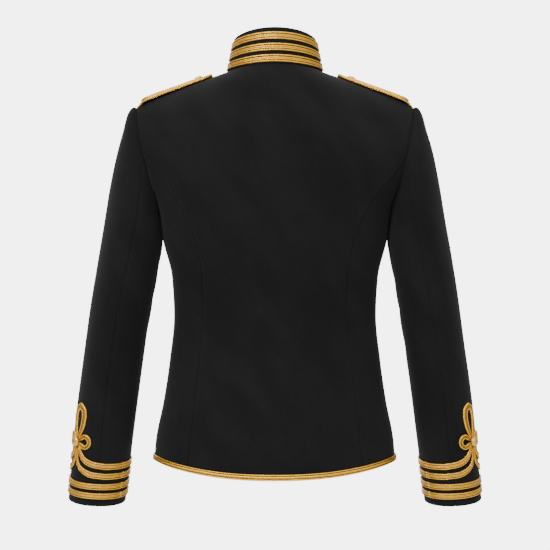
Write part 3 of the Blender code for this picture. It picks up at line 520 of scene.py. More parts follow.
def body_creases(level, angle, points, side):
    """Creases of the back and the front, a slow ripple, and soft flutes that grow towards the hem."""
    x, z = side * points[..., 0], points[..., 2]
    behind = ease(0.5 + SIDE_CHANGE * np.cos(angle))
    back = crease_height(CREASE_COLUMNS, BACK_CREASES, x, z)
    front = crease_height(CREASE_COLUMNS, FRONT_CREASES, x, z)
    turn = side * angle
    sway = RIPPLE_SWAY * np.sin(z / RIPPLE_SWAY_DOWN)
    ripple = BODY_RIPPLE * np.sin(x / RIPPLE_ACROSS + sway) * np.sin(z / RIPPLE_DOWN + RIPPLE_START)
    below = np.clip((WAIST_LEVEL - level) / (WAIST_LEVEL - HEM_LEVEL), 0.0, 1.0) ** 2
    flutes = sum(height * np.cos(count * turn + start) for height, count, start in FLUTES)
    calm = ease((NECK_LEVEL - level) / NECK_CALM)
    amount = bpy.context.scene.jacket_cloth.creases
    return amount * (back * behind + front * (1.0 - behind) + (ripple + flutes * below) * calm)


def sleeve_creases(along, turn, side):
    """Creases of a sleeve with a slow ripple; the right sleeve's lie lower and less far round."""
    degrees = np.degrees(turn) % 360.0
    if side < 0:
        along_there, turn_there = along - RIGHT_SLEEVE_SHIFT, degrees - RIGHT_SLEEVE_TURN
    else:
        along_there, turn_there = along, degrees
    height = crease_height(SLEEVE_CREASE_COLUMNS, SLEEVE_CREASES, along_there, turn_there,
                           second_scale=MILLIMETRES_A_DEGREE)
    height = height + crease_height(SLEEVE_CREASE_COLUMNS, SLEEVE_PRESSED, along, degrees,
                                    second_scale=MILLIMETRES_A_DEGREE)
    wave = np.sin(along / SLEEVE_RIPPLE_LENGTH + 2.0 * np.sin(turn + side))
    ripple = SLEEVE_RIPPLE * wave * np.cos(2.0 * turn + along / SLEEVE_RIPPLE_DRIFT)
    calm = ease(along / ARMHOLE_CALM) * ease((CUFF_END - along) / CUFF_CALM)
    return bpy.context.scene.jacket_cloth.creases * (height + ripple) * calm


# Body surface

def body_point(level, angle):
    """Point on the body's outer side: an oval ring at each level, lower or higher at back and front."""
    row = read_table(BODY_COLUMNS, BODY_ROWS, level)
    power = 2.0 / row["fullness"]
    cosine, sine = np.cos(angle), np.sin(angle)
    behind = cosine > 0.0
    reach = np.where(behind, row["back"], row["front"]) - row["middle"]
    rise = np.where(behind, row["back_rise"], row["front_rise"])
    x = row["half_width"] * signed_power(sine, power)
    y = row["middle"] + reach * np.abs(cosine) ** power
    return stack(x, y, level + rise * cosine ** 2 - row["fall"] * np.sin(2.0 * angle) ** 2)


def body_normal(level, angle):
    """Outward direction of the body surface, from points a little way off on each side."""
    below = np.maximum(level - NEAR, HEM_LEVEL)
    above = np.minimum(level + NEAR, NECK_LEVEL)
    upward = body_point(above, angle) - body_point(below, angle)
    around = body_point(level, angle + NEAR_TURN) - body_point(level, angle - NEAR_TURN)
    return unit(np.cross(upward, around))


def cloth_point(level, angle, side=1):
    """Point of the body with its creases, which lift it along its outward direction."""
    points = body_point(level, angle)
    return points + body_normal(level, angle) * body_creases(level, angle, points, side)[..., None]


def angle_at(level, from_centre):
    """Angle on the wearer's left half of the back at which the ring lies this far from the centre."""
    row = read_table(BODY_COLUMNS, BODY_ROWS, level)
    share = np.clip(from_centre / row["half_width"], 0.0, 1.0)
    return np.arcsin(share ** (0.5 * row["fullness"]))


def armhole_level(turn):
    middle = 0.5 * (SHOULDER_LEVEL + UNDERARM_LEVEL)
    return middle + 0.5 * (SHOULDER_LEVEL - UNDERARM_LEVEL) * np.cos(turn)


def armhole_angle(turn, spread):
    """Angle of the armhole's edge; spread is positive towards the back and negative to the front."""
    return QUARTER - math.radians(spread) * np.abs(np.sin(turn)) * (1.0 - ARMHOLE_LEAN * np.cos(turn))


def low_levels():
    return HEM_LEVEL + (UNDERARM_LEVEL - HEM_LEVEL) * shares(LOW_SPACES, last=False)


def armhole_turns():
    return np.linspace(math.pi, 0.0, ARMHOLE_SPACES + 1)


def high_levels():
    return SHOULDER_LEVEL + (NECK_LEVEL - SHOULDER_LEVEL) * shares(HIGH_SPACES, first=False, reach=4)


def body_levels():
    return np.concatenate((low_levels(), armhole_level(armhole_turns())[1:], high_levels()[1:]))


def princess_angle(level):
    row = read_table(PRINCESS_COLUMNS, PRINCESS_ROWS, level)
    return angle_at(level, row["from_centre"])


def seam_row():
    """Row at which the princess seam meets the armhole."""
    return LOW_SPACES + ARMHOLE_SPACES - BACK_SEAM_SPACE


def side_edge(spread):
    """Angle of a front's or back's outer edge on each row: side seam, armhole, shoulder seam."""
    return np.concatenate((np.full(LOW_SPACES, QUARTER), armhole_angle(armhole_turns(), spread),
                           np.full(HIGH_SPACES, QUARTER)))


def back_edge():
    """Angle of the back's outer edge on each row: princess seam, armhole, shoulder seam."""
    edge = side_edge(ARMHOLE_BACK_SPREAD)
    count = seam_row()
    edge[:count] = princess_angle(body_levels()[:count])
    return edge


def armhole_inward(points):
    """Wall direction at the armhole: square to X, towards the middle of the hole."""
    middle_level = 0.5 * (SHOULDER_LEVEL + UNDERARM_LEVEL)
    return CLOTH * unit(stack(0.0 * points[..., 0], -points[..., 1], middle_level - points[..., 2]))


def neck_inward(angle):
    """Wall direction at the neckline, shared by the body and the collar."""
    both = body_normal(np.full_like(angle, NECK_LEVEL), angle) + collar_normal(0.0 * angle, angle)
    return -CLOTH * unit(both)


def distance_from(edge, grid):
    """Straight distance of each point of the grid from the edge point of its own row or column."""
    return np.linalg.norm(grid - edge, axis=-1)


def seam_dip(distance, depth, half_width):
    """A seam: the cloth turns down at its edge and lies a little thicker over the allowance beside it."""
    turned = -depth * np.exp(-(distance / half_width) ** 2)
    allowance = ALLOWANCE_HEIGHT * np.exp(-((distance - ALLOWANCE_PLACE) / ALLOWANCE_HALF_WIDTH) ** 2)
    return (turned + allowance)[..., None]


def armhole_dip(edge, distance):
    """The cloth turns down where the sleeve is set in, the same way on the body and on the sleeve."""
    depth = ARMHOLE_DIP * np.exp(-(distance / SEAM_HALF_WIDTH) ** 2)
    return unit(armhole_inward(edge)) * depth[..., None]


def away_from_seam(edge, neighbour, inward):
    """Half the seam gap, square to the seam and to the wall, on the panel's own side."""
    along = np.gradient(edge, axis=0)
    across = unit(np.cross(along, inward))
    side = np.sign(np.sum(across * (neighbour - edge), axis=-1, keepdims=True))
    return 0.5 * SEAM_GAP * side * across


# Collar surface

def collar_top(angle):
    cosine = np.cos(angle)
    behind = cosine > 0.0
    y = np.where(behind, COLLAR_TOP_BACK, -COLLAR_TOP_FRONT) * cosine
    end_height = np.where(behind, COLLAR_TOP_BACK_HEIGHT, COLLAR_TOP_FRONT_HEIGHT)
    z = COLLAR_TOP_SIDE_HEIGHT + (end_height - COLLAR_TOP_SIDE_HEIGHT) * np.abs(cosine) ** COLLAR_TOP_POWER
    return stack(COLLAR_TOP_HALF_WIDTH * np.sin(angle), y, z)


def collar_point(share, angle):
    """Straight from the neckline, share 0, to the collar's top edge, share 1."""
    base = body_point(np.full_like(angle, NECK_LEVEL), angle)
    return base + (collar_top(angle) - base) * np.asarray(share)[..., None]


def collar_normal(share, angle):
    upward = collar_top(angle) - body_point(np.full_like(angle, NECK_LEVEL), angle)
    around = collar_point(share, angle + NEAR_TURN) - collar_point(share, angle - NEAR_TURN)
    return unit(np.cross(upward, around))


# Sleeve surface

def armhole_loop(turn, side):
    """Point of the armhole at this turn, which is also the sleeve's first ring."""
    spread = np.where(np.sin(turn) >= 0.0, ARMHOLE_BACK_SPREAD, -ARMHOLE_FRONT_SPREAD)
    spread = np.radians(spread) * np.abs(np.sin(turn)) * (1.0 - ARMHOLE_LEAN * np.cos(turn))
    return cloth_point(armhole_level(turn), QUARTER - spread, side)


def oval_ring(row, turn):
    """Oval from the arm's outer side to its inner side, in a plane that leans back."""
    power = 2.0 / SLEEVE_FULLNESS
    outward = signed_power(np.cos(turn), power)
    backward = row["half_depth"] * signed_power(np.sin(turn), power)
    x = 0.5 * (row["outer_x"] + row["inner_x"]) + 0.5 * (row["outer_x"] - row["inner_x"]) * outward
    z = 0.5 * (row["outer_z"] + row["inner_z"]) + 0.5 * (row["outer_z"] - row["inner_z"]) * outward
    return stack(x, row["middle"] + backward, z - row["back_tilt"] * backward)


def plain_sleeve_point(along, turn, side=1):
    """Point of the sleeve: its oval, with what is left there of the armhole's own form."""
    along, turn = np.broadcast_arrays(np.asarray(along, float), np.asarray(turn, float))
    row = read_table(SLEEVE_COLUMNS, SLEEVE_ROWS, along)
    first = read_table(SLEEVE_COLUMNS, SLEEVE_ROWS, 0.0 * along)
    turned = turn + np.radians(row["seam_turn"]) * np.maximum(np.sin(turn), 0.0)
    own_form = armhole_loop(turn, side) - oval_ring(first, turn)
    return oval_ring(row, turned) + own_form * row["armhole_share"][..., None]


def sleeve_normal(along, turn):
    """Outward direction of the sleeve, from points a little way off on each side."""
    before = np.maximum(along - NEAR, 0.0)
    after = np.minimum(along + NEAR, CUFF_END)
    down = plain_sleeve_point(after, turn) - plain_sleeve_point(before, turn)
    around = plain_sleeve_point(along, turn + NEAR_TURN) - plain_sleeve_point(along, turn - NEAR_TURN)
    return unit(np.cross(down, around))


def sleeve_point(along, turn, side=1):
    """Point of the sleeve with its creases."""
    lift = sleeve_creases(along, turn, side)[..., None]
    return plain_sleeve_point(along, turn, side) + sleeve_normal(along, turn) * lift


# Making meshes

def put_mesh(name, points, faces, corner_uv, finish, side=1):
    """A closed mesh in metres with its faces turned outwards and a place on the cloth at each corner."""
    points = points.reshape(-1, 3) * (side * MILLIMETRE, MILLIMETRE, MILLIMETRE)
    if not np.isfinite(points).all():
        raise ValueError(f"{name}: a point has no place")
    mesh = bpy.data.meshes.new(name)
    mesh.from_pydata(points.tolist(), [], faces)
    layer = mesh.uv_layers.new(name="thread")
    layer.data.foreach_set("uv", np.asarray(corner_uv, dtype=np.float32).ravel() * MILLIMETRE)
    work = bmesh.new()
    work.from_mesh(mesh)
    bmesh.ops.recalc_face_normals(work, faces=work.faces)
    work.to_mesh(mesh)
    work.free()
    mesh.shade_smooth()
    mesh.materials.append(material_of(finish))
    piece = bpy.data.objects.new(name, mesh)
    bpy.context.scene.collection.objects.link(piece)
    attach(piece, "root")
    return piece


def quads(number):
    """Faces between the rows and columns of a grid of point numbers."""
    corners = (number[:-1, :-1], number[1:, :-1], number[1:, 1:], number[:-1, 1:])
    return np.stack(corners, axis=-1).reshape(-1, 4)


def wall(name, outer, inward, bulge, finish="wool", side=1):
    """A cloth wall: an outer grid, the same moved inwards, and a rim whose middle line swells outwards.

    bulge says how far the rim swells at the first row, last row, first column and last column.
    """
    rows, columns = outer.shape[:2]
    number = np.arange(rows * columns).reshape(rows, columns)
    shift = rows * columns
    swell = np.zeros_like(outer)
    swell[0] += bulge[0] * unit(outer[0] - outer[1])
    swell[-1] += bulge[1] * unit(outer[-1] - outer[-2])
    swell[:, 0] += bulge[2] * unit(outer[:, 0] - outer[:, 1])
    swell[:, -1] += bulge[3] * unit(outer[:, -1] - outer[:, -2])
    rim = np.concatenate((number[0, :-1], number[:-1, -1], number[-1, :0:-1], number[:0:-1, 0]))
    middle = (outer + 0.5 * inward + swell).reshape(-1, 3)[rim]
    across = np.cumsum(np.linalg.norm(np.diff(outer, axis=1, prepend=outer[:, :1]), axis=-1), axis=1)
    upward = np.cumsum(np.linalg.norm(np.diff(outer, axis=0, prepend=outer[:1]), axis=-1), axis=0)
    place = np.stack((across, upward), axis=-1).reshape(-1, 2)
    points = np.concatenate((outer.reshape(-1, 3), (outer + inward).reshape(-1, 3), middle))
    places = np.concatenate((place, place, place[rim] + (CLOTH, CLOTH)))
    line = np.arange(len(rim)) + 2 * shift
    rim_next, line_next = np.roll(rim, -1), np.roll(line, -1)
    faces = np.concatenate((
        quads(number),
        quads(number) + shift,
        np.stack((rim, rim_next, line_next, line), axis=-1),
        np.stack((line, line_next, rim_next + shift, rim + shift), axis=-1),
    ))
    piece = put_mesh(name, points, faces.tolist(), places[faces.ravel()], finish, side)
    declare_cut(outer, across, upward)
    return piece


def declare_cut(outer, across, upward):
    """Work out the flat cut of a panel: its longest row, its middling column and the area of its grid; the
    numbers are not kept.
    """
    first = outer[1:, 1:] - outer[:-1, :-1]
    second = outer[1:, :-1] - outer[:-1, 1:]
    area = 0.5 * float(np.linalg.norm(np.cross(first, second), axis=-1).sum())
    width, length = float(across[:, -1].max()), float(np.median(upward[-1]))
    area = min(area, width * length)


def strand(name, rings, profile_place, closed, finish="gold_braid", side=1):
    """A braid or cord: a profile at every station of its route, closed on itself or capped.

    The corner places are the distance along the route and the place across the profile.
    """
    stations, profile = rings.shape[:2]
    middle = rings.mean(axis=1)
    loop = np.concatenate((middle, middle[:1])) if closed else middle
    distance = np.concatenate(([0.0], np.cumsum(np.linalg.norm(np.diff(loop, axis=0), axis=1))))
    number = np.arange(stations * profile).reshape(stations, profile)
    after = np.roll(number, -1, axis=0)
    steps = stations if closed else stations - 1
    station, corner = np.meshgrid(np.arange(steps), np.arange(profile), indexing="ij")
    corner_next = (corner + 1) % profile
    faces = np.stack((number[station, corner], number[station, corner_next],
                      after[station, corner_next], after[station, corner]), axis=-1).reshape(-1, 4)
    here, there = distance[station], distance[station + 1]
    along = np.stack((here, here, there, there), axis=-1)
    place = profile_place[np.stack((corner, corner_next, corner_next, corner), axis=-1)]
    corner_uv = np.stack((along, place), axis=-1).reshape(-1, 2)
    faces = faces.tolist()
    if not closed:
        for ring, far in ((0, distance[0]), (stations - 1, distance[-1])):
            faces.append(list(range(ring * profile, (ring + 1) * profile)))
            cap = np.column_stack((np.full(profile, far), profile_place))
            corner_uv = np.concatenate((corner_uv, cap))
    return put_mesh(name, rings, faces, corner_uv, finish, side)


def braid_profile(ribs):
    """A braid's outline as places across and heights: half-oval ribs over a floor, and a flat back."""
    turn = np.linspace(-1.0, 1.0, RIB_SPACES + 1)
    across, height = [], []
    for start, end, top in ribs:
        across.append(0.5 * (start + end) + 0.5 * (end - start) * turn[:-1])
        height.append(RIB_FLOOR + (top - RIB_FLOOR) * np.sqrt(np.maximum(1.0 - turn[:-1] ** 2, 0.0)))
    across.append([ribs[-1][1]])
    height.append([RIB_FLOOR])
    back = np.linspace(ribs[-1][1], ribs[0][0], BACK_POINTS + 1)
    across.append(back)
    height.append(0.0 * back)
    return np.concatenate(across), np.concatenate(height)


def turned_button(name, profile, foot, direction):
    """A turned button: its smooth profile goes round the axis, with a point at the top and the foot."""
    numbers = np.array(profile)
    knots = np.arange(len(profile), dtype=float)
    under = BUTTON_RIM + 1
    dome = np.linspace(0.0, under, under * BUTTON_FINE + 1)
    places = np.concatenate((dome, knots[under + 1:]))
    radius, height = (smooth_curve(knots, column, places) for column in numbers.T)
    arc = np.linspace(0.0, QUARTER, 2 * BUTTON_FINE + 1)
    rim_radius, rim_height = numbers[BUTTON_RIM]
    crown = numbers[0, 1] - rim_height
    radius = np.concatenate((rim_radius * np.sin(arc), radius[places > BUTTON_RIM]))
    height = np.concatenate((rim_height + crown * np.cos(arc), height[places > BUTTON_RIM]))
    up = np.asarray(direction, float) / np.linalg.norm(direction)
    first = np.cross(up, (0.0, 0.0, 1.0) if abs(up[2]) < 0.9 else (1.0, 0.0, 0.0))
    first = first / np.linalg.norm(first)
    second = np.cross(up, first)
    turn = np.linspace(0.0, WHOLE_TURN, BUTTON_STEPS, endpoint=False)
    ring = np.cos(turn)[:, None] * first + np.sin(turn)[:, None] * second
    body = radius[1:-1, None, None] * ring + height[1:-1, None, None] * up
    ends = height[0] * up, height[-1] * up
    points = np.concatenate((ends[:1], body.reshape(-1, 3), ends[1:])) + foot
    rows = len(radius) - 2
    number = 1 + np.arange(rows * BUTTON_STEPS).reshape(rows, BUTTON_STEPS)
    closed = np.column_stack((number, number[:, 0]))
    faces = quads(closed).tolist()
    last = len(points) - 1
    faces += [[0, a, b] for a, b in zip(closed[0, :-1].tolist(), closed[0, 1:].tolist())]
    faces += [[last, b, a] for a, b in zip(closed[-1, :-1].tolist(), closed[-1, 1:].tolist())]
    corners = np.concatenate([np.asarray(face) for face in faces])
    places = np.column_stack((points[:, 0], points[:, 2]))
    return put_mesh(name, points, faces, places[corners], "gilt")


# Materials

def feed(tree, socket, value):
    """Link a socket to another node's output, or give it a value."""
    if isinstance(value, bpy.types.NodeSocket):
        tree.links.new(value, socket)
    else:
        socket.default_value = value


def node(tree, kind, inputs=(), **settings):
    """A shader node with its settings, and inputs given as values or as other nodes' outputs."""
    made = tree.nodes.new(kind)
    for key, value in settings.items():
        setattr(made, key, value)
    for key, value in dict(inputs).items():
        feed(tree, made.inputs[key], value)
    return made


def sums(tree, operation, first, second=0.0, third=0.0):
    return node(tree, "ShaderNodeMath", {0: first, 1: second, 2: third}, operation=operation).outputs[0]


def blend(tree, factor, first, second):
    """Mix of two colours; this node's colour sockets are numbers 6 and 7, and its colour output is 2."""
    return node(tree, "ShaderNodeMix", {0: factor, 6: first, 7: second}, data_type="RGBA").outputs[2]


def spread(tree, value, low, high, to_low=0.0, to_high=1.0):
    """Map a value from one range to another, held at the ends, with a smooth step."""
    return node(tree, "ShaderNodeMapRange", {0: value, 1: low, 2: high, 3: to_low, 4: to_high},
                interpolation_type="SMOOTHSTEP").outputs[0]


def noise(tree, place, scale, detail, roughness=0.5):
    inputs = {"Vector": place, "Scale": scale, "Detail": detail, "Roughness": roughness}
    return node(tree, "ShaderNodeTexNoise", inputs).outputs["Fac"]


def distance_off(tree, value, place):
    """How far a value lies from a place, on either side."""
    return sums(tree, "ABSOLUTE", sums(tree, "SUBTRACT", value, place))


def opaque(colour):
    return (*colour, 1.0)


def new_group(name, inputs, outputs):
    """A new node group and the sockets of its two ends; an input with no default is a vector."""
    group = bpy.data.node_groups.new(name, "ShaderNodeTree")
    for label, default in inputs.items():
        kind = "NodeSocketVector" if default is None else "NodeSocketFloat"
        socket = group.interface.new_socket(name=label, in_out="INPUT", socket_type=kind)
        if default is not None:
            socket.default_value = default
    for label in outputs:
        group.interface.new_socket(name=label, in_out="OUTPUT", socket_type="NodeSocketFloat")
    return group, group.nodes.new("NodeGroupInput").outputs, group.nodes.new("NodeGroupOutput").inputs


def wool_nap_group():
    """Wool nap: a felted twill as a height, with short paler fibres and soft cloudy patches as masks."""
    found = bpy.data.node_groups.get("wool nap")
    if found:
        return found
    group, given, out = new_group("wool nap", {"Place": None, "Scale": 1.0}, ("Height", "Fibre", "Cloud"))
    place, scale = given["Place"], given["Scale"]
    felt = noise(group, place, sums(group, "MULTIPLY", scale, 1500.0), 4.0, 0.62)
    slanting = {"Vector": place, "Rotation": (0.0, math.radians(35.0), 0.0), "Scale": (1.0, 1.0, 2.6)}
    nap_place = node(group, "ShaderNodeMapping", slanting, vector_type="TEXTURE").outputs[0]
    fibre = noise(group, nap_place, sums(group, "MULTIPLY", scale, 900.0), 5.0, 0.7)
    cloud = noise(group, nap_place, 22.0, 3.0)
    ribs = {"Vector": place, "Scale": sums(group, "MULTIPLY", scale, 150.0), "Distortion": 1.6,
            "Detail": 2.0, "Detail Scale": 2.5}
    twill = node(group, "ShaderNodeTexWave", ribs, bands_direction="DIAGONAL").outputs["Fac"]
    feed(group, out["Height"], sums(group, "MULTIPLY_ADD", twill, 0.35, felt))
    feed(group, out["Fibre"], spread(group, fibre, 0.5, 0.74))
    feed(group, out["Cloud"], spread(group, cloud, 0.3, 0.7))
    return group


def thread_group():
    """Metal thread: slanting twists across a braid, grooves and a line of stitches, with painted light.

    A twist is a rounded wave of the distance along plus slant times the place across; the shade output
    paints it pale on its top and darker between twists. Each groove is a soft line of painted shade at its
    own place across, from -0.5 to 0.5 of the braid's width. The glint output marks small painted glints.
    """
    found = bpy.data.node_groups.get("metal thread")
    if found:
        return found
    inputs = {"Place": None, "Pitch": 0.003, "Slant": 2.2, "High groove": 0.24, "Low groove": -0.26,
              "Groove width": 0.1, "Stitch": 1.0}
    group, given, out = new_group("metal thread", inputs, ("Height", "Shade", "Spark"))
    split = node(group, "ShaderNodeSeparateXYZ", {0: given["Place"]}).outputs
    along, across = split[0], sums(group, "MULTIPLY", split[1], 1000.0)
    wobble = noise(group, given["Place"], 210.0, 2.0)
    turns = sums(group, "DIVIDE", along, given["Pitch"])
    phase = sums(group, "MULTIPLY_ADD", across, given["Slant"], turns)
    phase = sums(group, "MULTIPLY_ADD", wobble, 1.2, phase)
    saw = distance_off(group, sums(group, "FRACT", phase), 0.5)
    hollow = sums(group, "POWER", sums(group, "MULTIPLY", saw, 2.0), 2.0)
    strand_round = sums(group, "SUBTRACT", 1.0, hollow)
    # Painted shade: each groove darkens the colour as shade would; the same dip also sinks the bump.
    groove = 1.0
    for place, share in (("High groove", 1.0), ("Low groove", 0.8)):
        off = sums(group, "DIVIDE", distance_off(group, across, given[place]), given["Groove width"])
        groove = sums(group, "MULTIPLY", groove, spread(group, off, 0.15, 1.0, 1.0 - share, 1.0))
    # Painted shade along the line between the two inner ribs.
    middle = spread(group, distance_off(group, across, -0.02), 0.01, 0.07, 0.45, 1.0)
    stitch_turn = sums(group, "FRACT", sums(group, "DIVIDE", along, 0.0036))
    stitch = spread(group, distance_off(group, stitch_turn, 0.5), 0.14, 0.3, 1.0, 0.0)
    on_line = spread(group, distance_off(group, across, given["Low groove"]), 0.03, 0.12, 1.0, 0.0)
    stitched = sums(group, "MULTIPLY", sums(group, "MULTIPLY", stitch, on_line), given["Stitch"])
    middle = sums(group, "MAXIMUM", middle, sums(group, "SUBTRACT", 1.0, given["Stitch"]))
    cut = sums(group, "MULTIPLY", groove, middle)
    # Painted light: twist tops pale as if lit, hollows and grooves darkened as painted shade.
    shade = sums(group, "MULTIPLY", sums(group, "MULTIPLY_ADD", strand_round, 0.55, 0.45),
                 sums(group, "MULTIPLY_ADD", cut, 0.85, 0.15))
    bare = sums(group, "SUBTRACT", 1.0, sums(group, "MULTIPLY", stitched, 0.85))
    height = sums(group, "MULTIPLY_ADD", strand_round, 0.5, sums(group, "MULTIPLY", cut, 0.6))
    feed(group, out["Height"], height)
    feed(group, out["Shade"], sums(group, "MULTIPLY", shade, bare))
    # Small painted glints: bright specks of noise.
    feed(group, out["Spark"], spread(group, noise(group, given["Place"], 420.0, 2.0, 0.6), 0.5, 0.7))
    return group


def start_material(name):
    """A new material with its node tree and its shader."""
    material = bpy.data.materials.new(name)
    material.use_nodes = True
    return material, material.node_tree, material.node_tree.nodes["Principled BSDF"]


def set_shader(tree, shader, inputs, height, strength, distance):
    """Give the shader its inputs, and a bump from a height."""
    bump = node(tree, "ShaderNodeBump", {"Strength": strength, "Distance": distance, "Height": height})
    for key, value in (*inputs.items(), ("Normal", bump.outputs["Normal"])):
        feed(tree, shader.inputs[key], value)


def wool(tree, shader):
    """Black milled wool: nearly black cloth with a fine nap, a few paler fibres and a soft sheen."""
    cloth = bpy.context.scene.jacket_cloth
    place = node(tree, "ShaderNodeTexCoord").outputs["Object"]
    nap = node(tree, "ShaderNodeGroup", {"Place": place, "Scale": 1.0}, node_tree=wool_nap_group()).outputs
    dark, pale = (opaque([value * tone for value in cloth.colour]) for tone in (0.8, 1.3))
    base = blend(tree, nap["Cloud"], dark, pale)
    colour = blend(tree, sums(tree, "MULTIPLY", nap["Fibre"], 0.5), base, opaque(cloth.fibre_colour))
    inputs = {"Base Color": colour, "Roughness": 0.93, "Specular IOR Level": 0.14,
              "Sheen Weight": cloth.sheen, "Sheen Roughness": 0.5}
    set_shader(tree, shader, inputs, nap["Height"], 0.35, 0.0004)


def thread(tree, weave):
    """The outputs of the thread pattern with this weave, along the braid or cord."""
    place = node(tree, "ShaderNodeUVMap", uv_map="thread").outputs["UV"]
    return node(tree, "ShaderNodeGroup", {"Place": place, **weave}, node_tree=thread_group()).outputs


def gold(tree, shader, weave):
    """Gold thread: painted highlight on its twists' tops, painted brown shade in grooves, painted glints."""
    braid = bpy.context.scene.jacket_braid
    made = thread(tree, weave)
    shade = spread(tree, made["Shade"], 0.12, 0.8)
    # Painted shade and highlight: the shade colour deep in grooves and hollows, the gold on the lit tops.
    plain = blend(tree, shade, opaque(braid.shade_colour), opaque(braid.colour))
    # Painted glints: the glint colour on bright specks over the lit tops.
    glint = sums(tree, "MULTIPLY", made["Spark"], shade)
    colour = blend(tree, glint, plain, opaque(braid.painted_glint_colour))
    set_shader(tree, shader, {"Base Color": colour, "Roughness": spread(tree, shade, 0.0, 1.0, 0.6, 0.3),
                              "Metallic": braid.metal}, made["Height"], 0.8, 0.0006)


def gilt(tree, shader):
    """Gilt brass: pale gold, polished, with faint cloudy wear and fine scratches."""
    button = bpy.context.scene.jacket_buttons
    place = node(tree, "ShaderNodeTexCoord").outputs["Object"]
    mask = spread(tree, noise(tree, place, 240.0, 4.0), 0.35, 0.7)
    colour = blend(tree, mask, opaque(button.shade_colour), opaque(button.colour))
    set_shader(tree, shader, {"Base Color": colour, "Roughness": spread(tree, mask, 0.0, 1.0, 0.4, 0.32),
                              "Metallic": 1.0}, noise(tree, place, 2600.0, 2.0), 0.03, 0.0001)


def black_thread(tree, shader):
    """Black buttonhole thread, a little glossier than the cloth, with a short twist and painted shade
    between twists.
    """
    made = thread(tree, {"Pitch": 0.0011, "Slant": 0.4, **PLAIN_CORD})
    # Painted shade: the thread is darker between its twists and paler on their tops.
    colour = blend(tree, made["Shade"], (0.004, 0.004, 0.004, 1.0), (0.022, 0.022, 0.023, 1.0))
    set_shader(tree, shader, {"Base Color": colour, "Roughness": 0.55}, made["Height"], 0.7, 0.0004)


# Weaves: a plain cord has its grooves off its surface and no stitches
PLAIN_CORD = {"High groove": 2.0, "Low groove": -2.0, "Stitch": 0.0}
CORD_WEAVE = {"Pitch": 0.0026, "Slant": 2.6, **PLAIN_CORD}
LOOP_WEAVE = {"Pitch": 0.0028, "High groove": 0.14, "Low groove": -0.14, "Groove width": 0.12}
HEM_WEAVE = {"Pitch": 0.0024, "Slant": 1.6, "High groove": 0.26, "Low groove": -0.2}

# Finishes: the material's name, the slot it fills and what makes it
FINISHES = {
    "wool": ("black wool", "black_wool", wool),
    "gold_braid": ("gold braid", "gold_braid", partial(gold, weave={})),
    "gold_cord": ("gold cord", "gold_braid", partial(gold, weave=CORD_WEAVE)),
    "loop_gold": ("gold loop braid", "gold_braid", partial(gold, weave=LOOP_WEAVE)),
    "hem_gold": ("gold hem braid", "gold_braid", partial(gold, weave=HEM_WEAVE)),
    "gilt": ("gilt brass", "gilt_button", gilt),
    "black_thread": ("black thread", "black_wool", black_thread),
}


def material_of(finish):
    """The finish's material, made the first time it is asked for."""
    name, _, build = FINISHES[finish]
    found = bpy.data.materials.get(name)
    if found:
        return found
    material, tree, shader = start_material(name)
    build(tree, shader)
    return material


# Cloth panels

def seam_depths(rows, armhole):
    """How deep the cloth turns down at a panel's seam on each row; the armhole's rows have their own dip."""
    row = np.arange(rows)[:, None]
    return np.where((row >= armhole.start) & (row < armhole.stop), 0.0, SEAM_DIP)


def edge_move(outer, normal, inward, armhole, column, neighbour, away=1.0):
    """How a back's or front's edge moves: the gaps and dips of its seams and of its armhole."""
    move = np.zeros_like(outer)
    seam = away_from_seam(outer[:, column], outer[:, neighbour], inward[:, column])
    seam[armhole.start + 1:armhole.stop - 1] = 0.0
    seam[armhole, 0] -= away * 0.5 * SEAM_GAP
    move[:, column] = seam
    distance = distance_from(outer[:, column][:, None], outer)
    move += normal * seam_dip(distance, seam_depths(len(outer), armhole), SEAM_HALF_WIDTH)
    move[armhole] += armhole_dip(outer[armhole, column][:, None], distance[armhole])
    return move


def make_back():
    levels, edge = body_levels(), back_edge()
    angle = -edge[:, None] + 2.0 * edge[:, None] * shares(BACK_COLUMNS_COUNT)
    level = np.broadcast_to(levels[:, None], angle.shape)
    outer, normal = cloth_point(level, angle), body_normal(level, angle)
    inward = -CLOTH * normal
    armhole = slice(seam_row(), LOW_SPACES + ARMHOLE_SPACES + 1)
    for column in (0, -1):
        inward[armhole, column] = armhole_inward(outer[armhole, column])
    inward[-1] = neck_inward(angle[-1])
    move = (edge_move(outer, normal, inward, armhole, 0, 1, -1.0)
            + edge_move(outer, normal, inward, armhole, -1, -2))
    move[-1] += away_from_seam(outer[-1], outer[-2], inward[-1])
    piece = wall("cloth_back", outer + move, inward, (EDGE_BULGE, 0.0, 0.0, 0.0))
    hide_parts("back")


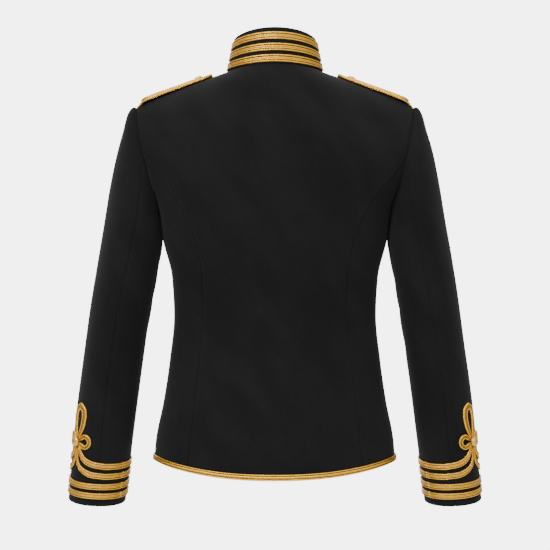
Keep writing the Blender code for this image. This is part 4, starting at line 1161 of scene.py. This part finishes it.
def make_side_back(name, side):
    count = seam_row() + 1
    levels = body_levels()[:count]
    outer_edge, inner_edge = side_edge(ARMHOLE_BACK_SPREAD)[:count], back_edge()[:count]
    angle = inner_edge[:, None] + (outer_edge - inner_edge)[:, None] * shares(SIDE_COLUMNS_COUNT)
    level = np.broadcast_to(levels[:, None], angle.shape)
    outer, normal = cloth_point(level, angle, side), body_normal(level, angle)
    armhole = slice(LOW_SPACES, count)
    inward = -CLOTH * normal
    inward[armhole, -1] = armhole_inward(outer[armhole, -1])
    inward[-1] = inward[-1, -1]
    move = np.zeros_like(outer)
    move[:, 0] = away_from_seam(outer[:, 0], outer[:, 1], inward[:, 0])
    move[:, -1] = away_from_seam(outer[:, -1], outer[:, -2], inward[:, -1])
    move[LOW_SPACES + 1:, -1] = 0.0
    move[armhole, -1, 0] -= 0.5 * SEAM_GAP
    fade = ease(distance_from(outer[:, -1], outer[:, 0])[:, None] / SEAM_FADE)[..., None]
    for column, deep in ((0, SEAM_DIP), (-1, seam_depths(count, armhole))):
        distance = distance_from(outer[:, column][:, None], outer)
        move += normal * seam_dip(distance, deep, SEAM_HALF_WIDTH) * fade
    move[armhole] += armhole_dip(outer[armhole, -1][:, None], distance[armhole])
    outer = outer + move
    for grid in (outer, inward):
        grid[-1] = grid[-2] + (grid[-1] - grid[-2]) * SIDE_BACK_TOP_SHARE
    piece = wall(f"cloth_side_back_{name}", outer, inward, (EDGE_BULGE, 0.0, 0.0, 0.0), side=side)
    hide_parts(f"side_back_{name}")


def tuck_amount(x):
    """How far the under front is let in, from nothing to its full depth beneath the lap."""
    return TUCK_DEPTH * ease((TUCK_START - x) / (TUCK_START - TUCK_FULL))


def front_angle(level, x):
    """Angle at which a ring lies this far to the left of the centre front."""
    return 2.0 * QUARTER - np.sign(x) * angle_at(level, np.abs(x))


def make_front(name, side, reach, tucked):
    levels = body_levels()
    edge = side_edge(-ARMHOLE_FRONT_SPREAD)
    start = front_angle(levels, TUCK_START)
    panel = edge[:, None] + (start - edge)[:, None] * shares(FRONT_COLUMNS_COUNT, last=False)
    places = TUCK_START - (TUCK_START + reach) * shares(STRIP_COLUMNS_COUNT, first=False, reach=5)[1:]
    strip = front_angle(levels[:, None], places[None, :])
    angle = np.column_stack((panel, strip))
    level = np.broadcast_to(levels[:, None], angle.shape)
    outer, normal = cloth_point(level, angle, side), body_normal(level, angle)
    inward = -CLOTH * normal
    armhole = slice(LOW_SPACES, LOW_SPACES + ARMHOLE_SPACES + 1)
    inward[armhole, 0] = armhole_inward(outer[armhole, 0])
    inward[-1] = neck_inward(angle[-1])
    move = edge_move(outer, normal, inward, armhole, 0, 1)
    move[-1] += away_from_seam(outer[-1], outer[-2], inward[-1])
    if tucked:
        move -= normal * tuck_amount(outer[..., 0])[..., None]
    bulge = (EDGE_BULGE, 0.0, 0.0, LAP_BULGE)
    piece = wall(f"cloth_front_{name}", outer + move, inward, bulge, side=side)
    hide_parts(f"front_{name}")


def neckline_angles(count):
    """Angles round the neckline from one front end to the other."""
    neck = np.array(NECK_LEVEL)
    end = float(front_angle(neck, np.array(0.5 * COLLAR_FRONT_GAP)))
    half = end * shares(count, first=False)
    return np.concatenate((-half[:0:-1], half))


def make_collar():
    angles = neckline_angles(COLLAR_HALF_COUNT)
    share, angle = np.meshgrid(shares(COLLAR_ROWS_COUNT), angles, indexing="ij")
    outer, normal = collar_point(share, angle), collar_normal(share, angle)
    inward = -CLOTH * normal
    inward[0] = neck_inward(angles)
    move = np.zeros_like(outer)
    move[0] = away_from_seam(outer[0], outer[1], inward[0])
    move += normal * seam_dip(distance_from(outer[:1], outer), COLLAR_SEAM_DIP, COLLAR_SEAM_HALF_WIDTH)
    bulge = (0.0, EDGE_BULGE, COLLAR_END_BULGE, COLLAR_END_BULGE)
    piece = wall("cloth_collar", outer + move, inward, bulge)
    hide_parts("collar")


def make_sleeve_piece(part, name, side, first, last):
    """One of a sleeve's two pieces, between two of its seam columns, which may pass the top."""
    step = math.pi / ARMHOLE_SPACES
    count = last - first
    turns = step * (first + count * shares(count))
    rows = CUFF_END * shares(SLEEVE_ROWS_COUNT)
    along, turn = np.meshgrid(rows, turns, indexing="ij")
    outer, normal = sleeve_point(along, turn, side), sleeve_normal(along, turn)
    inward = -CLOTH * normal
    inward[0] = armhole_inward(outer[0])
    move = np.zeros_like(outer)
    for column, neighbour in ((0, 1), (-1, -2)):
        move[:, column] = away_from_seam(outer[:, column], outer[:, neighbour], inward[:, column])
        dip = seam_dip(distance_from(outer[:, column][:, None], outer), SEAM_DIP, SEAM_HALF_WIDTH)
        move += normal * dip * ease(along / SEAM_FADE)[..., None]
    move += armhole_dip(outer[:1], distance_from(outer[:1], outer))
    move[0, :, 0] += 0.5 * SEAM_GAP
    bulge = (0.0, EDGE_BULGE, 0.0, 0.0)
    piece = wall(f"cloth_sleeve_{part}_{name}", outer + move, inward, bulge, side=side)
    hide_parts(f"sleeve_{part}_{name}")


# Braid and cord

def make_collar_braids():
    across, height = braid_profile(FLAT_RIBS)
    angles = neckline_angles(COLLAR_BRAID_STATIONS // 2)[:, None]
    for number, place in enumerate(COLLAR_BRAID_PLACES, start=1):
        share, angle = np.broadcast_arrays(place + COLLAR_BRAID_SHARE * across, angles)
        lift = TRIM_LIFT + COLLAR_BRAID_THICKNESS * height
        rings = collar_point(share, angle) + collar_normal(share, angle) * lift[:, None]
        piece = strand(f"braid_collar_{number}", rings, across, closed=False)
        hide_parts(f"collar_braid_{number}")


def cuff_rings(route, ribs, thickness, side, lift=0.0):
    """A braid's rings along a route on the cuff, square to the route and lying on the cloth."""
    place_across, height_up, width = route.T
    across, height = braid_profile(ribs)
    along_route = unit(np.column_stack((np.gradient(place_across), np.gradient(height_up))))
    sideways = width[:, None] * across
    place_across = place_across[:, None] - along_route[:, 1:] * sideways
    place_height = height_up[:, None] + along_route[:, :1] * sideways
    turn = math.radians(CUFF_AXIS_TURN) + place_across / CUFF_ARC
    along = CUFF_END - place_height
    rise = TRIM_LIFT + thickness * height + np.reshape(lift, (-1, 1)) * (height > 0.0)
    return sleeve_point(along, turn, side) + sleeve_normal(along, turn) * rise[..., None]


def smooth_route(points, spaces):
    """Even stations on the smooth curve through a route's points: across, height and width."""
    numbers = np.array(points)
    knots = np.arange(len(points), dtype=float)
    at = np.linspace(0.0, knots[-1], spaces + 1)
    return np.column_stack([smooth_curve(knots, column, at) for column in numbers.T])


def round_arm(rise, row_height):
    """A row's route: down from the button, round the arm, and up to the button again."""
    down = smooth_route(rise, ROUTE_STATIONS)[::-1]
    whole = WHOLE_TURN * CUFF_ARC
    across = np.linspace(rise[0][0], whole - rise[0][0], CUFF_STATIONS - 2 * ROUTE_STATIONS)[1:-1]
    level = stack(join_stations(across), row_height, CUFF_BRAID_WIDTH)
    up = down[::-1] * (-1.0, 1.0, 1.0) + (whole, 0.0, 0.0)
    return np.concatenate((down, level, up))


def join_rise(across):
    """The join of a row at the arm's inner side: one end swells up, and the cloth shows beside it."""
    off = across - CUFF_JOIN_ACROSS
    lap = CUFF_JOIN_LAP * np.exp(-((off - CUFF_JOIN_LAP_PLACE) / CUFF_JOIN_LAP_WIDTH) ** 2)
    return lap - CUFF_JOIN_STEP * np.exp(-((off - CUFF_JOIN_STEP_PLACE) / CUFF_JOIN_STEP_WIDTH) ** 2)


def join_stations(across):
    """The stations of a row with more of them close to its join."""
    return np.sort(np.concatenate((across, CUFF_JOIN_ACROSS + np.array(CUFF_JOIN_STATIONS))))


def make_cuff_rows(name, side):
    for number, (height, rise) in enumerate(zip(CUFF_ROW_HEIGHTS, CUFF_ROW_RISES), start=1):
        if rise:
            route = round_arm(rise, height)
        else:
            across = WHOLE_TURN * CUFF_ARC * np.linspace(0.0, 1.0, CUFF_STATIONS, endpoint=False)
            route = stack(join_stations(across), height, CUFF_BRAID_WIDTH)
        rings = cuff_rings(route, FLAT_RIBS, CUFF_BRAID_THICKNESS, side, join_rise(route[:, 0]))
        piece = strand(f"braid_cuff_{number}_{name}", rings, braid_profile(FLAT_RIBS)[0], closed=not rise,
                       side=side)
        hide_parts(f"cuff_braid_{number}_{name}")


def tall_loop():
    half = smooth_route(TALL_LOOP_HALF, ROUTE_STATIONS)
    return np.concatenate((half, half[-2::-1] * (-1.0, 1.0, 1.0)))


def side_loop(side):
    bend = np.radians(np.linspace(SIDE_LOOP_FROM, SIDE_LOOP_TO, SIDE_LOOP_STATIONS + 1))
    ring = stack(SIDE_LOOP_ACROSS + SIDE_LOOP_RADIUS * np.cos(bend),
                 SIDE_LOOP_HEIGHT + SIDE_LOOP_RADIUS * np.sin(bend), SIDE_LOOP_WIDTH)
    low = smooth_route((*SIDE_LOOP_LOW_END, ring[0]), SIDE_LOOP_END_STATIONS)
    high = smooth_route((ring[-1], *SIDE_LOOP_HIGH_END), SIDE_LOOP_END_STATIONS)
    return np.concatenate((low[:-1], ring, high[1:])) * (side, 1.0, 1.0)


def make_cuff_knot(name, side):
    knot = (("loop", tall_loop()), ("curl_back", side_loop(1)), ("curl_front", side_loop(-1)))
    for part, route in knot:
        lift = 0.0 if part == "loop" else SIDE_LOOP_LIFT
        rings = cuff_rings(route, LOOP_RIBS, LOOP_THICKNESS, side, lift)
        piece = strand(f"braid_{part}_{name}", rings, braid_profile(LOOP_RIBS)[0], closed=False,
                       finish="loop_gold", side=side)
        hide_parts(f"cuff_{part}_{name}")


def hem_angles():
    """Angles round the hem from the lap's edge round the back to the tucked front."""
    hem = np.array(HEM_LEVEL)
    end = float(front_angle(hem, np.array(TUCK_FULL)))
    lap = -front_angle(hem, np.linspace(-LAP_OVER, TUCK_FULL, HEM_LAP_STATIONS)[:-1])
    return np.concatenate((lap, np.linspace(-end, end, HEM_BRAID_STATIONS)))


def make_hem_braid():
    across, height = braid_profile(HEM_RIBS)
    low = HEM_LEVEL - HEM_BRAID_DROP
    level, angle = np.broadcast_arrays(low + HEM_BRAID_HEIGHT * (across + 0.5), hem_angles()[:, None])
    outer, normal = cloth_point(level, angle), body_normal(level, angle)
    tuck = np.where(angle > QUARTER, tuck_amount(outer[..., 0]), 0.0)
    lift = TRIM_LIFT + HEM_BRAID_THICKNESS * height - tuck
    piece = strand("braid_hem", outer + normal * lift[..., None], across, closed=False, finish="hem_gold")
    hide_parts("hem_braid")


# Shoulder straps

def shoulder_level(x):
    """Level of the ring whose side point lies this far out on the shoulder seam."""
    levels = np.linspace(SHOULDER_LEVEL, NECK_LEVEL, SHOULDER_SAMPLES)
    widths = read_table(BODY_COLUMNS, BODY_ROWS, levels)["half_width"]
    return np.interp(-x, -widths, levels)


def strap_place(share, y, height):
    """Point above the shoulder, from the armhole, share 0, to the strap's neck end, with its direction."""
    level = shoulder_level(STRAP_OUTER_X + (STRAP_NECK_X - STRAP_OUTER_X) * share)
    row = read_table(BODY_COLUMNS, BODY_ROWS, level)
    reach = np.where(y > row["middle"], row["back"], row["front"]) - row["middle"]
    cosine = np.clip((y - row["middle"]) / reach, 0.0, 1.0) ** (0.5 * row["fullness"])
    angle = np.where(y > row["middle"], np.arccos(cosine), 2.0 * QUARTER - np.arccos(cosine))
    normal = body_normal(level, angle)
    off_middle = np.clip(np.abs(y) / STRAP_OUTER_HALF_WIDTH, 0.0, STRAP_EDGE_LIMIT)
    edge = off_middle ** 2 * (1.0 - np.clip(share, 0.0, 1.0)) ** 2
    end = ease((share - STRAP_END_FROM) / STRAP_END_RUN)
    low = STRAP_END_HEIGHT + (1.0 - STRAP_END_HEIGHT) * end
    lift = (STRAP_LIFT + STRAP_EDGE_LIFT * edge + height) * low
    return body_point(level, angle) + normal * lift[..., None], normal


def strap_outline(straight_count, round_count):
    """Stations along the strap and its half width there, with a round end near the collar."""
    straight = np.linspace(0.0, STRAP_ROUND_START, straight_count + 1)
    bend = np.linspace(0.0, QUARTER, round_count + 1)[1:]
    share = np.concatenate((straight, STRAP_ROUND_START + (1.0 - STRAP_ROUND_START) * np.sin(bend)))
    width = STRAP_OUTER_HALF_WIDTH + (STRAP_NECK_HALF_WIDTH - STRAP_OUTER_HALF_WIDTH) * share
    width[len(straight):] *= np.cos(bend)
    return share, width


def rope(name, path, radius, normal, twist, closed=False, finish="gold_cord", side=1):
    """A round cord: a circle whose radius swells at each lobe and which turns as it goes along."""
    lobes, pitch, depth, steps = twist
    tangent = unit(np.gradient(path, axis=0))
    across = unit(np.cross(tangent, normal))
    up = np.cross(across, tangent)
    distance = np.concatenate(([0.0], np.cumsum(np.linalg.norm(np.diff(path, axis=0), axis=1))))
    turn = np.linspace(0.0, WHOLE_TURN, steps, endpoint=False)
    swell = np.abs(np.cos(0.5 * lobes * (turn - WHOLE_TURN * distance[:, None] / pitch)))
    reach = (radius * (1.0 - depth + depth * swell))[..., None]
    ring = np.cos(turn)[:, None] * across[:, None] + np.sin(turn)[:, None] * up[:, None]
    around = np.linspace(-0.5, 0.5, steps, endpoint=False)
    return strand(name, path[:, None] + reach * ring, around, closed, finish, side)


def make_strap(name, side):
    share, width = strap_outline(STRAP_ROWS_COUNT - STRAP_ROUND_ROWS, STRAP_ROUND_ROWS)
    width[-1] = STRAP_TIP_HALF_WIDTH
    across = 2.0 * shares(STRAP_COLUMNS_COUNT, reach=3) - 1.0
    top, normal = strap_place(share[:, None] + 0.0 * across, width[:, None] * across, STRAP_THICKNESS)
    bulge = (0.0, STRAP_BULGE, STRAP_BULGE, STRAP_BULGE)
    strap = wall(f"strap_{name}", top, -STRAP_THICKNESS * normal, bulge, side=side)
    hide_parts(f"epaulette_{name}")
    share, width = strap_outline(STRAP_CORD_STRAIGHT, STRAP_CORD_ROUND)
    make_edge_cord(name, side, share, width)
    make_strap_cords(name, side, share[:STRAP_CORD_STRAIGHT], width[:STRAP_CORD_STRAIGHT])


def near_armhole(share):
    """From 1 where the cords meet the armhole to 0 where they have their own place and thickness."""
    return 1.0 - ease(share / STRAP_CORD_DRAW_END)


def make_edge_cord(name, side, share, width):
    """The thick cord round the strap's edge, from the armhole round the neck end and back."""
    near = near_armhole(share)
    beside = (width + STRAP_CORD_RADIUS + STRAP_CORD_GAP) * (1.0 - STRAP_CORD_DRAW * near)
    past = ease((share - STRAP_CORD_PAST_FROM) / (STRAP_ROUND_START - STRAP_CORD_PAST_FROM))
    share = share + (STRAP_CORD_PAST * past + STRAP_CORD_START * near)
    radius = STRAP_CORD_RADIUS * (STRAP_CORD_SWELL - STRAP_CORD_TAPER * near)
    beside, share, radius = (np.concatenate((half, sign * half[-2::-1]))
                             for half, sign in ((beside, -1.0), (share, 1.0), (radius, 1.0)))
    route, up = strap_place(share, beside, radius)
    cord = rope(f"cord_strap_{name}", route, radius[:, None], up, EDGE_CORD_TWIST, side=side)
    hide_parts(f"epaulette_cord_{name}")


def make_strap_cords(name, side, share, width):
    """Two thin cords on each half of the strap: one along the edge cord and one in waves beside it."""
    run = np.linspace(STRAP_THIN_FROM, STRAP_THIN_TO, STRAP_THIN_STATIONS)
    half = np.interp(run, share, width) * (1.0 - STRAP_CORD_DRAW * near_armhole(run))
    waves = STRAP_WAVE_INSET + STRAP_WAVE_SWING * np.sin(run * WHOLE_TURN * STRAP_WAVES)
    for part, inset, radius, twist in (("inner", STRAP_INNER_INSET, STRAP_INNER_RADIUS, INNER_CORD_TWIST),
                                       ("wave", waves, STRAP_WAVE_RADIUS, WAVE_CORD_TWIST)):
        for place, edge in (("back", 1.0), ("front", -1.0)):
            path, up = strap_place(run, edge * (half - inset), STRAP_THICKNESS + radius - STRAP_CORD_SINK)
            rope(f"cord_{part}_{place}_{name}", path, radius, up, twist, side=side)


# Buttons

def front_button_levels():
    """Each front button's number and level, from the top."""
    return enumerate(np.linspace(FRONT_BUTTON_HIGH, FRONT_BUTTON_LOW, FRONT_BUTTONS), start=1)


def make_buttons():
    for number, level in front_button_levels():
        at = (np.array(level), np.array(2.0 * QUARTER))
        piece = turned_button(f"button_front_{number}", FRONT_BUTTON, cloth_point(*at), body_normal(*at))
        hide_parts(f"front_button_{number}")
    on_cuff = (np.array(CUFF_END - CUFF_BUTTON_HEIGHT), np.array(math.radians(CUFF_AXIS_TURN)))
    share = (STRAP_OUTER_X - STRAP_BUTTON_X) / (STRAP_OUTER_X - STRAP_NECK_X)
    for name, side in SIDES:
        mirror = np.array((side, 1, 1))
        foot, direction = sleeve_point(*on_cuff, side) * mirror, sleeve_normal(*on_cuff) * mirror
        piece = turned_button(f"button_cuff_{name}", CUFF_BUTTON, foot, direction)
        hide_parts(f"cuff_button_{name}")
        top, up = strap_place(np.array(share), np.array(0.0), np.array(STRAP_THICKNESS))
        piece = turned_button(f"button_strap_{name}", STRAP_BUTTON, top * mirror, up * mirror)
        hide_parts(f"epaulette_button_{name}")


def make_buttonholes():
    """A worked buttonhole behind each front button: a long loop of thread round its slit."""
    turn = np.linspace(0.0, WHOLE_TURN, BUTTONHOLE_STEPS, endpoint=False)
    x = BUTTONHOLE_MIDDLE + BUTTONHOLE_HALF_LENGTH * signed_power(np.cos(turn), BUTTONHOLE_ROUND)
    rise = BUTTONHOLE_HALF_HEIGHT * signed_power(np.sin(turn), BUTTONHOLE_ROUND)
    for number, level in front_button_levels():
        levels = level + rise
        angle = front_angle(levels, x)
        normal = body_normal(levels, angle)
        path = cloth_point(levels, angle, -1) + BUTTONHOLE_LIFT * normal
        rope(f"buttonhole_{number}", path, BUTTONHOLE_RADIUS, normal, BUTTONHOLE_TWIST, closed=True,
             finish="black_thread", side=-1)


# Studio

def make_stage():
    """Pale round floor well below the jacket, a white room, four soft lights and the camera."""
    studio = bpy.context.scene.jacket_studio
    turn = np.linspace(0.0, WHOLE_TURN, FLOOR_STEPS, endpoint=False)
    ring = np.column_stack((np.cos(turn), np.sin(turn), np.zeros_like(turn))) * studio.floor_radius
    mesh = bpy.data.meshes.new("floor")
    mesh.from_pydata((ring + (0.0, 0.0, studio.floor_level)).tolist(), [], [list(range(len(ring)))])
    material, _, shader = start_material("pale floor")
    shader.inputs["Base Color"].default_value = FLOOR_COLOUR
    shader.inputs["Roughness"].default_value = 0.8
    mesh.materials.append(material)
    floor = bpy.data.objects.new("floor", mesh)
    bpy.context.scene.collection.objects.link(floor)
    make_room(studio)
    for name, place, size in LIGHTS:
        add_light(name, place, size, getattr(studio, name))
    camera = bpy.data.objects.new("camera", bpy.data.cameras.new("camera"))
    camera.data.lens = studio.lens
    camera.data.clip_end = CAMERA_CLIP
    camera.location = (0.0, studio.distance, studio.height)
    camera.rotation_euler = (QUARTER, 0.0, math.pi)
    bpy.context.scene.collection.objects.link(camera)
    bpy.context.scene.camera = camera


def make_room(studio):
    """White all round as the camera sees it, and as light brighter above than below."""
    world = bpy.data.worlds.new("studio")
    bpy.context.scene.world = world
    world.use_nodes = True
    tree = world.node_tree
    tree.nodes.clear()
    place = node(tree, "ShaderNodeTexCoord").outputs["Generated"]
    height = node(tree, "ShaderNodeSeparateXYZ", {0: place}).outputs[2]
    shade = blend(tree, spread(tree, height, -0.5, 0.9), LOW_ROOM_COLOUR, WHITE)
    light = node(tree, "ShaderNodeBackground", {"Color": shade, "Strength": studio.room})
    seen = node(tree, "ShaderNodeBackground", {"Color": WHITE, "Strength": studio.backdrop})
    ray = node(tree, "ShaderNodeLightPath").outputs["Is Camera Ray"]
    mix = node(tree, "ShaderNodeMixShader", {0: ray, 1: light.outputs[0], 2: seen.outputs[0]})
    node(tree, "ShaderNodeOutputWorld", {"Surface": mix.outputs[0]})


def add_light(name, place, size, power):
    """A square soft light that looks at the middle of the jacket."""
    data = bpy.data.lights.new(name, "AREA")
    data.shape = "SQUARE"
    data.size = size
    data.energy = power
    light = bpy.data.objects.new(name, data)
    away = np.array(place) - np.array(JACKET_MIDDLE)
    across = math.hypot(away[0], away[1])
    light.location = place
    light.rotation_euler = (math.atan2(across, away[2]), 0.0, math.atan2(away[0], -away[1]))
    bpy.context.scene.collection.objects.link(light)


# Sizes and colours that a user would change

def colour_setting(name, description, default):
    return FloatVectorProperty(name=name, description=description, subtype="COLOR", size=3, min=0.0, max=1.0,
                               default=default)


def share_setting(name, description, default, highest=1.0):
    return FloatProperty(name=name, description=description, subtype="FACTOR", min=0.0, max=highest,
                         default=default)


def length_setting(name, description, default):
    return FloatProperty(name=name, description=description, unit="LENGTH", default=default)


def power_setting(name, description, default):
    return FloatProperty(name=name, description=description, unit="POWER", default=default)


class ClothSettings(bpy.types.PropertyGroup):
    """The black wool cloth."""

    colour: colour_setting("Cloth colour", "Colour of the wool", (0.0056, 0.0055, 0.0057))
    fibre_colour: colour_setting("Fibre colour", "Colour of the paler fibres in the nap",
                                 (0.016, 0.016, 0.0165))
    sheen: share_setting("Sheen", "Soft sheen of the nap", 0.045)
    creases: share_setting("Creases", "How strongly the cloth is creased", 1.0, 2.0)


class BraidSettings(bpy.types.PropertyGroup):
    """The gold braid and cord."""

    # The gold stands on the lit tops of the threads as painted highlight.
    colour: colour_setting("Gold", "Colour on the tops of the threads", (1.0, 0.52, 0.042))
    # Painted shade: the colour given deep between the threads.
    shade_colour: colour_setting("Shade", "Colour deep between the threads", (0.085, 0.022, 0.0008))
    # Painted glints: the colour of small bright specks on the thread.
    painted_glint_colour: colour_setting("Glint", "Colour of the small bright glints", (1.0, 0.74, 0.14))
    metal: share_setting("Metal", "How metallic the thread is", 0.82)


class ButtonSettings(bpy.types.PropertyGroup):
    """The gilt buttons."""

    colour: colour_setting("Gilt", "Colour of the polished gilt", (0.90, 0.56, 0.16))
    shade_colour: colour_setting("Worn gilt", "Colour of the worn patches", (0.76, 0.45, 0.11))


class StudioSettings(bpy.types.PropertyGroup):
    """The floor, the lights and the camera."""

    distance: length_setting("Camera distance", "From the camera to the jacket", 3.0)
    height: length_setting("Camera height", "Height of the camera from the base of the neck", -0.287)
    lens: FloatProperty(name="Lens", description="Focal length of the camera in millimetres", default=138.3)
    floor_level: length_setting("Floor level", "Height of the floor from the base of the neck", -1.45)
    floor_radius: length_setting("Floor radius", "Radius of the round floor", 5.0)
    room: FloatProperty(name="Room light", description="Strength of the light from all round", default=0.95)
    backdrop: FloatProperty(name="Backdrop", description="How bright the camera sees the white backdrop",
                            default=5.5)
    key: power_setting("Key light", "Power of the key light", 84.0)
    fill: power_setting("Fill light", "Power of the fill light", 20.0)
    top: power_setting("Top light", "Power of the top light", 22.0)
    front: power_setting("Front light", "Power of the light before the jacket's front", 30.0)


# Operators

class JACKET_OT_body(bpy.types.Operator):
    """Make the cloth of the back, the side backs and the two fronts"""

    bl_idname = "jacket.body"
    bl_label = "Body cloth"

    def execute(self, context):
        make_back()
        for name, side in SIDES:
            make_side_back(name, side)
        make_front("right", -1, LAP_OVER, False)
        make_front("left", 1, LAP_UNDER, True)
        return {"FINISHED"}


class JACKET_OT_collar(bpy.types.Operator):
    """Make the cloth of the stand collar"""

    bl_idname = "jacket.collar"
    bl_label = "Collar cloth"

    def execute(self, context):
        make_collar()
        return {"FINISHED"}


class JACKET_OT_sleeves(bpy.types.Operator):
    """Make the upper and under pieces of both sleeves"""

    bl_idname = "jacket.sleeves"
    bl_label = "Sleeve cloth"

    def execute(self, context):
        whole = 2 * ARMHOLE_SPACES
        for name, side in SIDES:
            make_sleeve_piece("under", name, side, BACK_SEAM_SPACE, whole - FRONT_SEAM_SPACE)
            make_sleeve_piece("upper", name, side, whole - FRONT_SEAM_SPACE, whole + BACK_SEAM_SPACE)
        return {"FINISHED"}


class JACKET_OT_collar_braid(bpy.types.Operator):
    """Make the braids round the collar"""

    bl_idname = "jacket.collar_braid"
    bl_label = "Collar braid"

    def execute(self, context):
        make_collar_braids()
        return {"FINISHED"}


class JACKET_OT_cuff_braid(bpy.types.Operator):
    """Make the rows of braid round both cuffs"""

    bl_idname = "jacket.cuff_braid"
    bl_label = "Cuff braid"

    def execute(self, context):
        for name, side in SIDES:
            make_cuff_rows(name, side)
        return {"FINISHED"}


class JACKET_OT_cuff_knots(bpy.types.Operator):
    """Make the knots of braid above both cuffs"""

    bl_idname = "jacket.cuff_knots"
    bl_label = "Cuff knots"

    def execute(self, context):
        for name, side in SIDES:
            make_cuff_knot(name, side)
        return {"FINISHED"}


class JACKET_OT_hem_braid(bpy.types.Operator):
    """Make the braid along the hem"""

    bl_idname = "jacket.hem_braid"
    bl_label = "Hem braid"

    def execute(self, context):
        make_hem_braid()
        return {"FINISHED"}


class JACKET_OT_straps(bpy.types.Operator):
    """Make both shoulder straps with their cords"""

    bl_idname = "jacket.straps"
    bl_label = "Shoulder straps"

    def execute(self, context):
        for name, side in SIDES:
            make_strap(name, side)
        return {"FINISHED"}


class JACKET_OT_buttons(bpy.types.Operator):
    """Make all buttons and the worked buttonholes of the front"""

    bl_idname = "jacket.buttons"
    bl_label = "Buttons"

    def execute(self, context):
        make_buttons()
        make_buttonholes()
        return {"FINISHED"}


class JACKET_OT_stage(bpy.types.Operator):
    """Make the floor, the lights and the camera"""

    bl_idname = "jacket.stage"
    bl_label = "Studio"

    def execute(self, context):
        make_stage()
        return {"FINISHED"}


class JACKET_PT_panel(bpy.types.Panel):
    """Lists the jacket's settings and operators"""

    bl_idname = "JACKET_PT_panel"
    bl_label = "Hussar jacket"
    bl_space_type = "VIEW_3D"
    bl_region_type = "UI"
    bl_category = "Jacket"

    def draw(self, context):
        scene = context.scene
        for name in SETTINGS:
            group = getattr(scene, name)
            box = self.layout.box()
            for key in group.__annotations__:
                box.prop(group, key)
        for operator in OPERATORS:
            self.layout.operator(operator.bl_idname)


SETTINGS = {"jacket_cloth": ClothSettings, "jacket_braid": BraidSettings, "jacket_buttons": ButtonSettings,
            "jacket_studio": StudioSettings}
OPERATORS = (JACKET_OT_stage, JACKET_OT_body, JACKET_OT_collar, JACKET_OT_sleeves, JACKET_OT_collar_braid,
             JACKET_OT_cuff_braid, JACKET_OT_cuff_knots, JACKET_OT_hem_braid, JACKET_OT_straps,
             JACKET_OT_buttons)


def register():
    for kind in (*SETTINGS.values(), *OPERATORS, JACKET_PT_panel):
        bpy.utils.register_class(kind)
    for name, kind in SETTINGS.items():
        setattr(bpy.types.Scene, name, PointerProperty(type=kind))


def unregister():
    for name in SETTINGS:
        delattr(bpy.types.Scene, name)
    for kind in (JACKET_PT_panel, *reversed(OPERATORS), *reversed(tuple(SETTINGS.values()))):
        bpy.utils.unregister_class(kind)


def main():
    register()
    for operator in OPERATORS:
        group, name = operator.bl_idname.split(".")
        getattr(getattr(bpy.ops, group), name)()


if __name__ == "__main__":
    main()
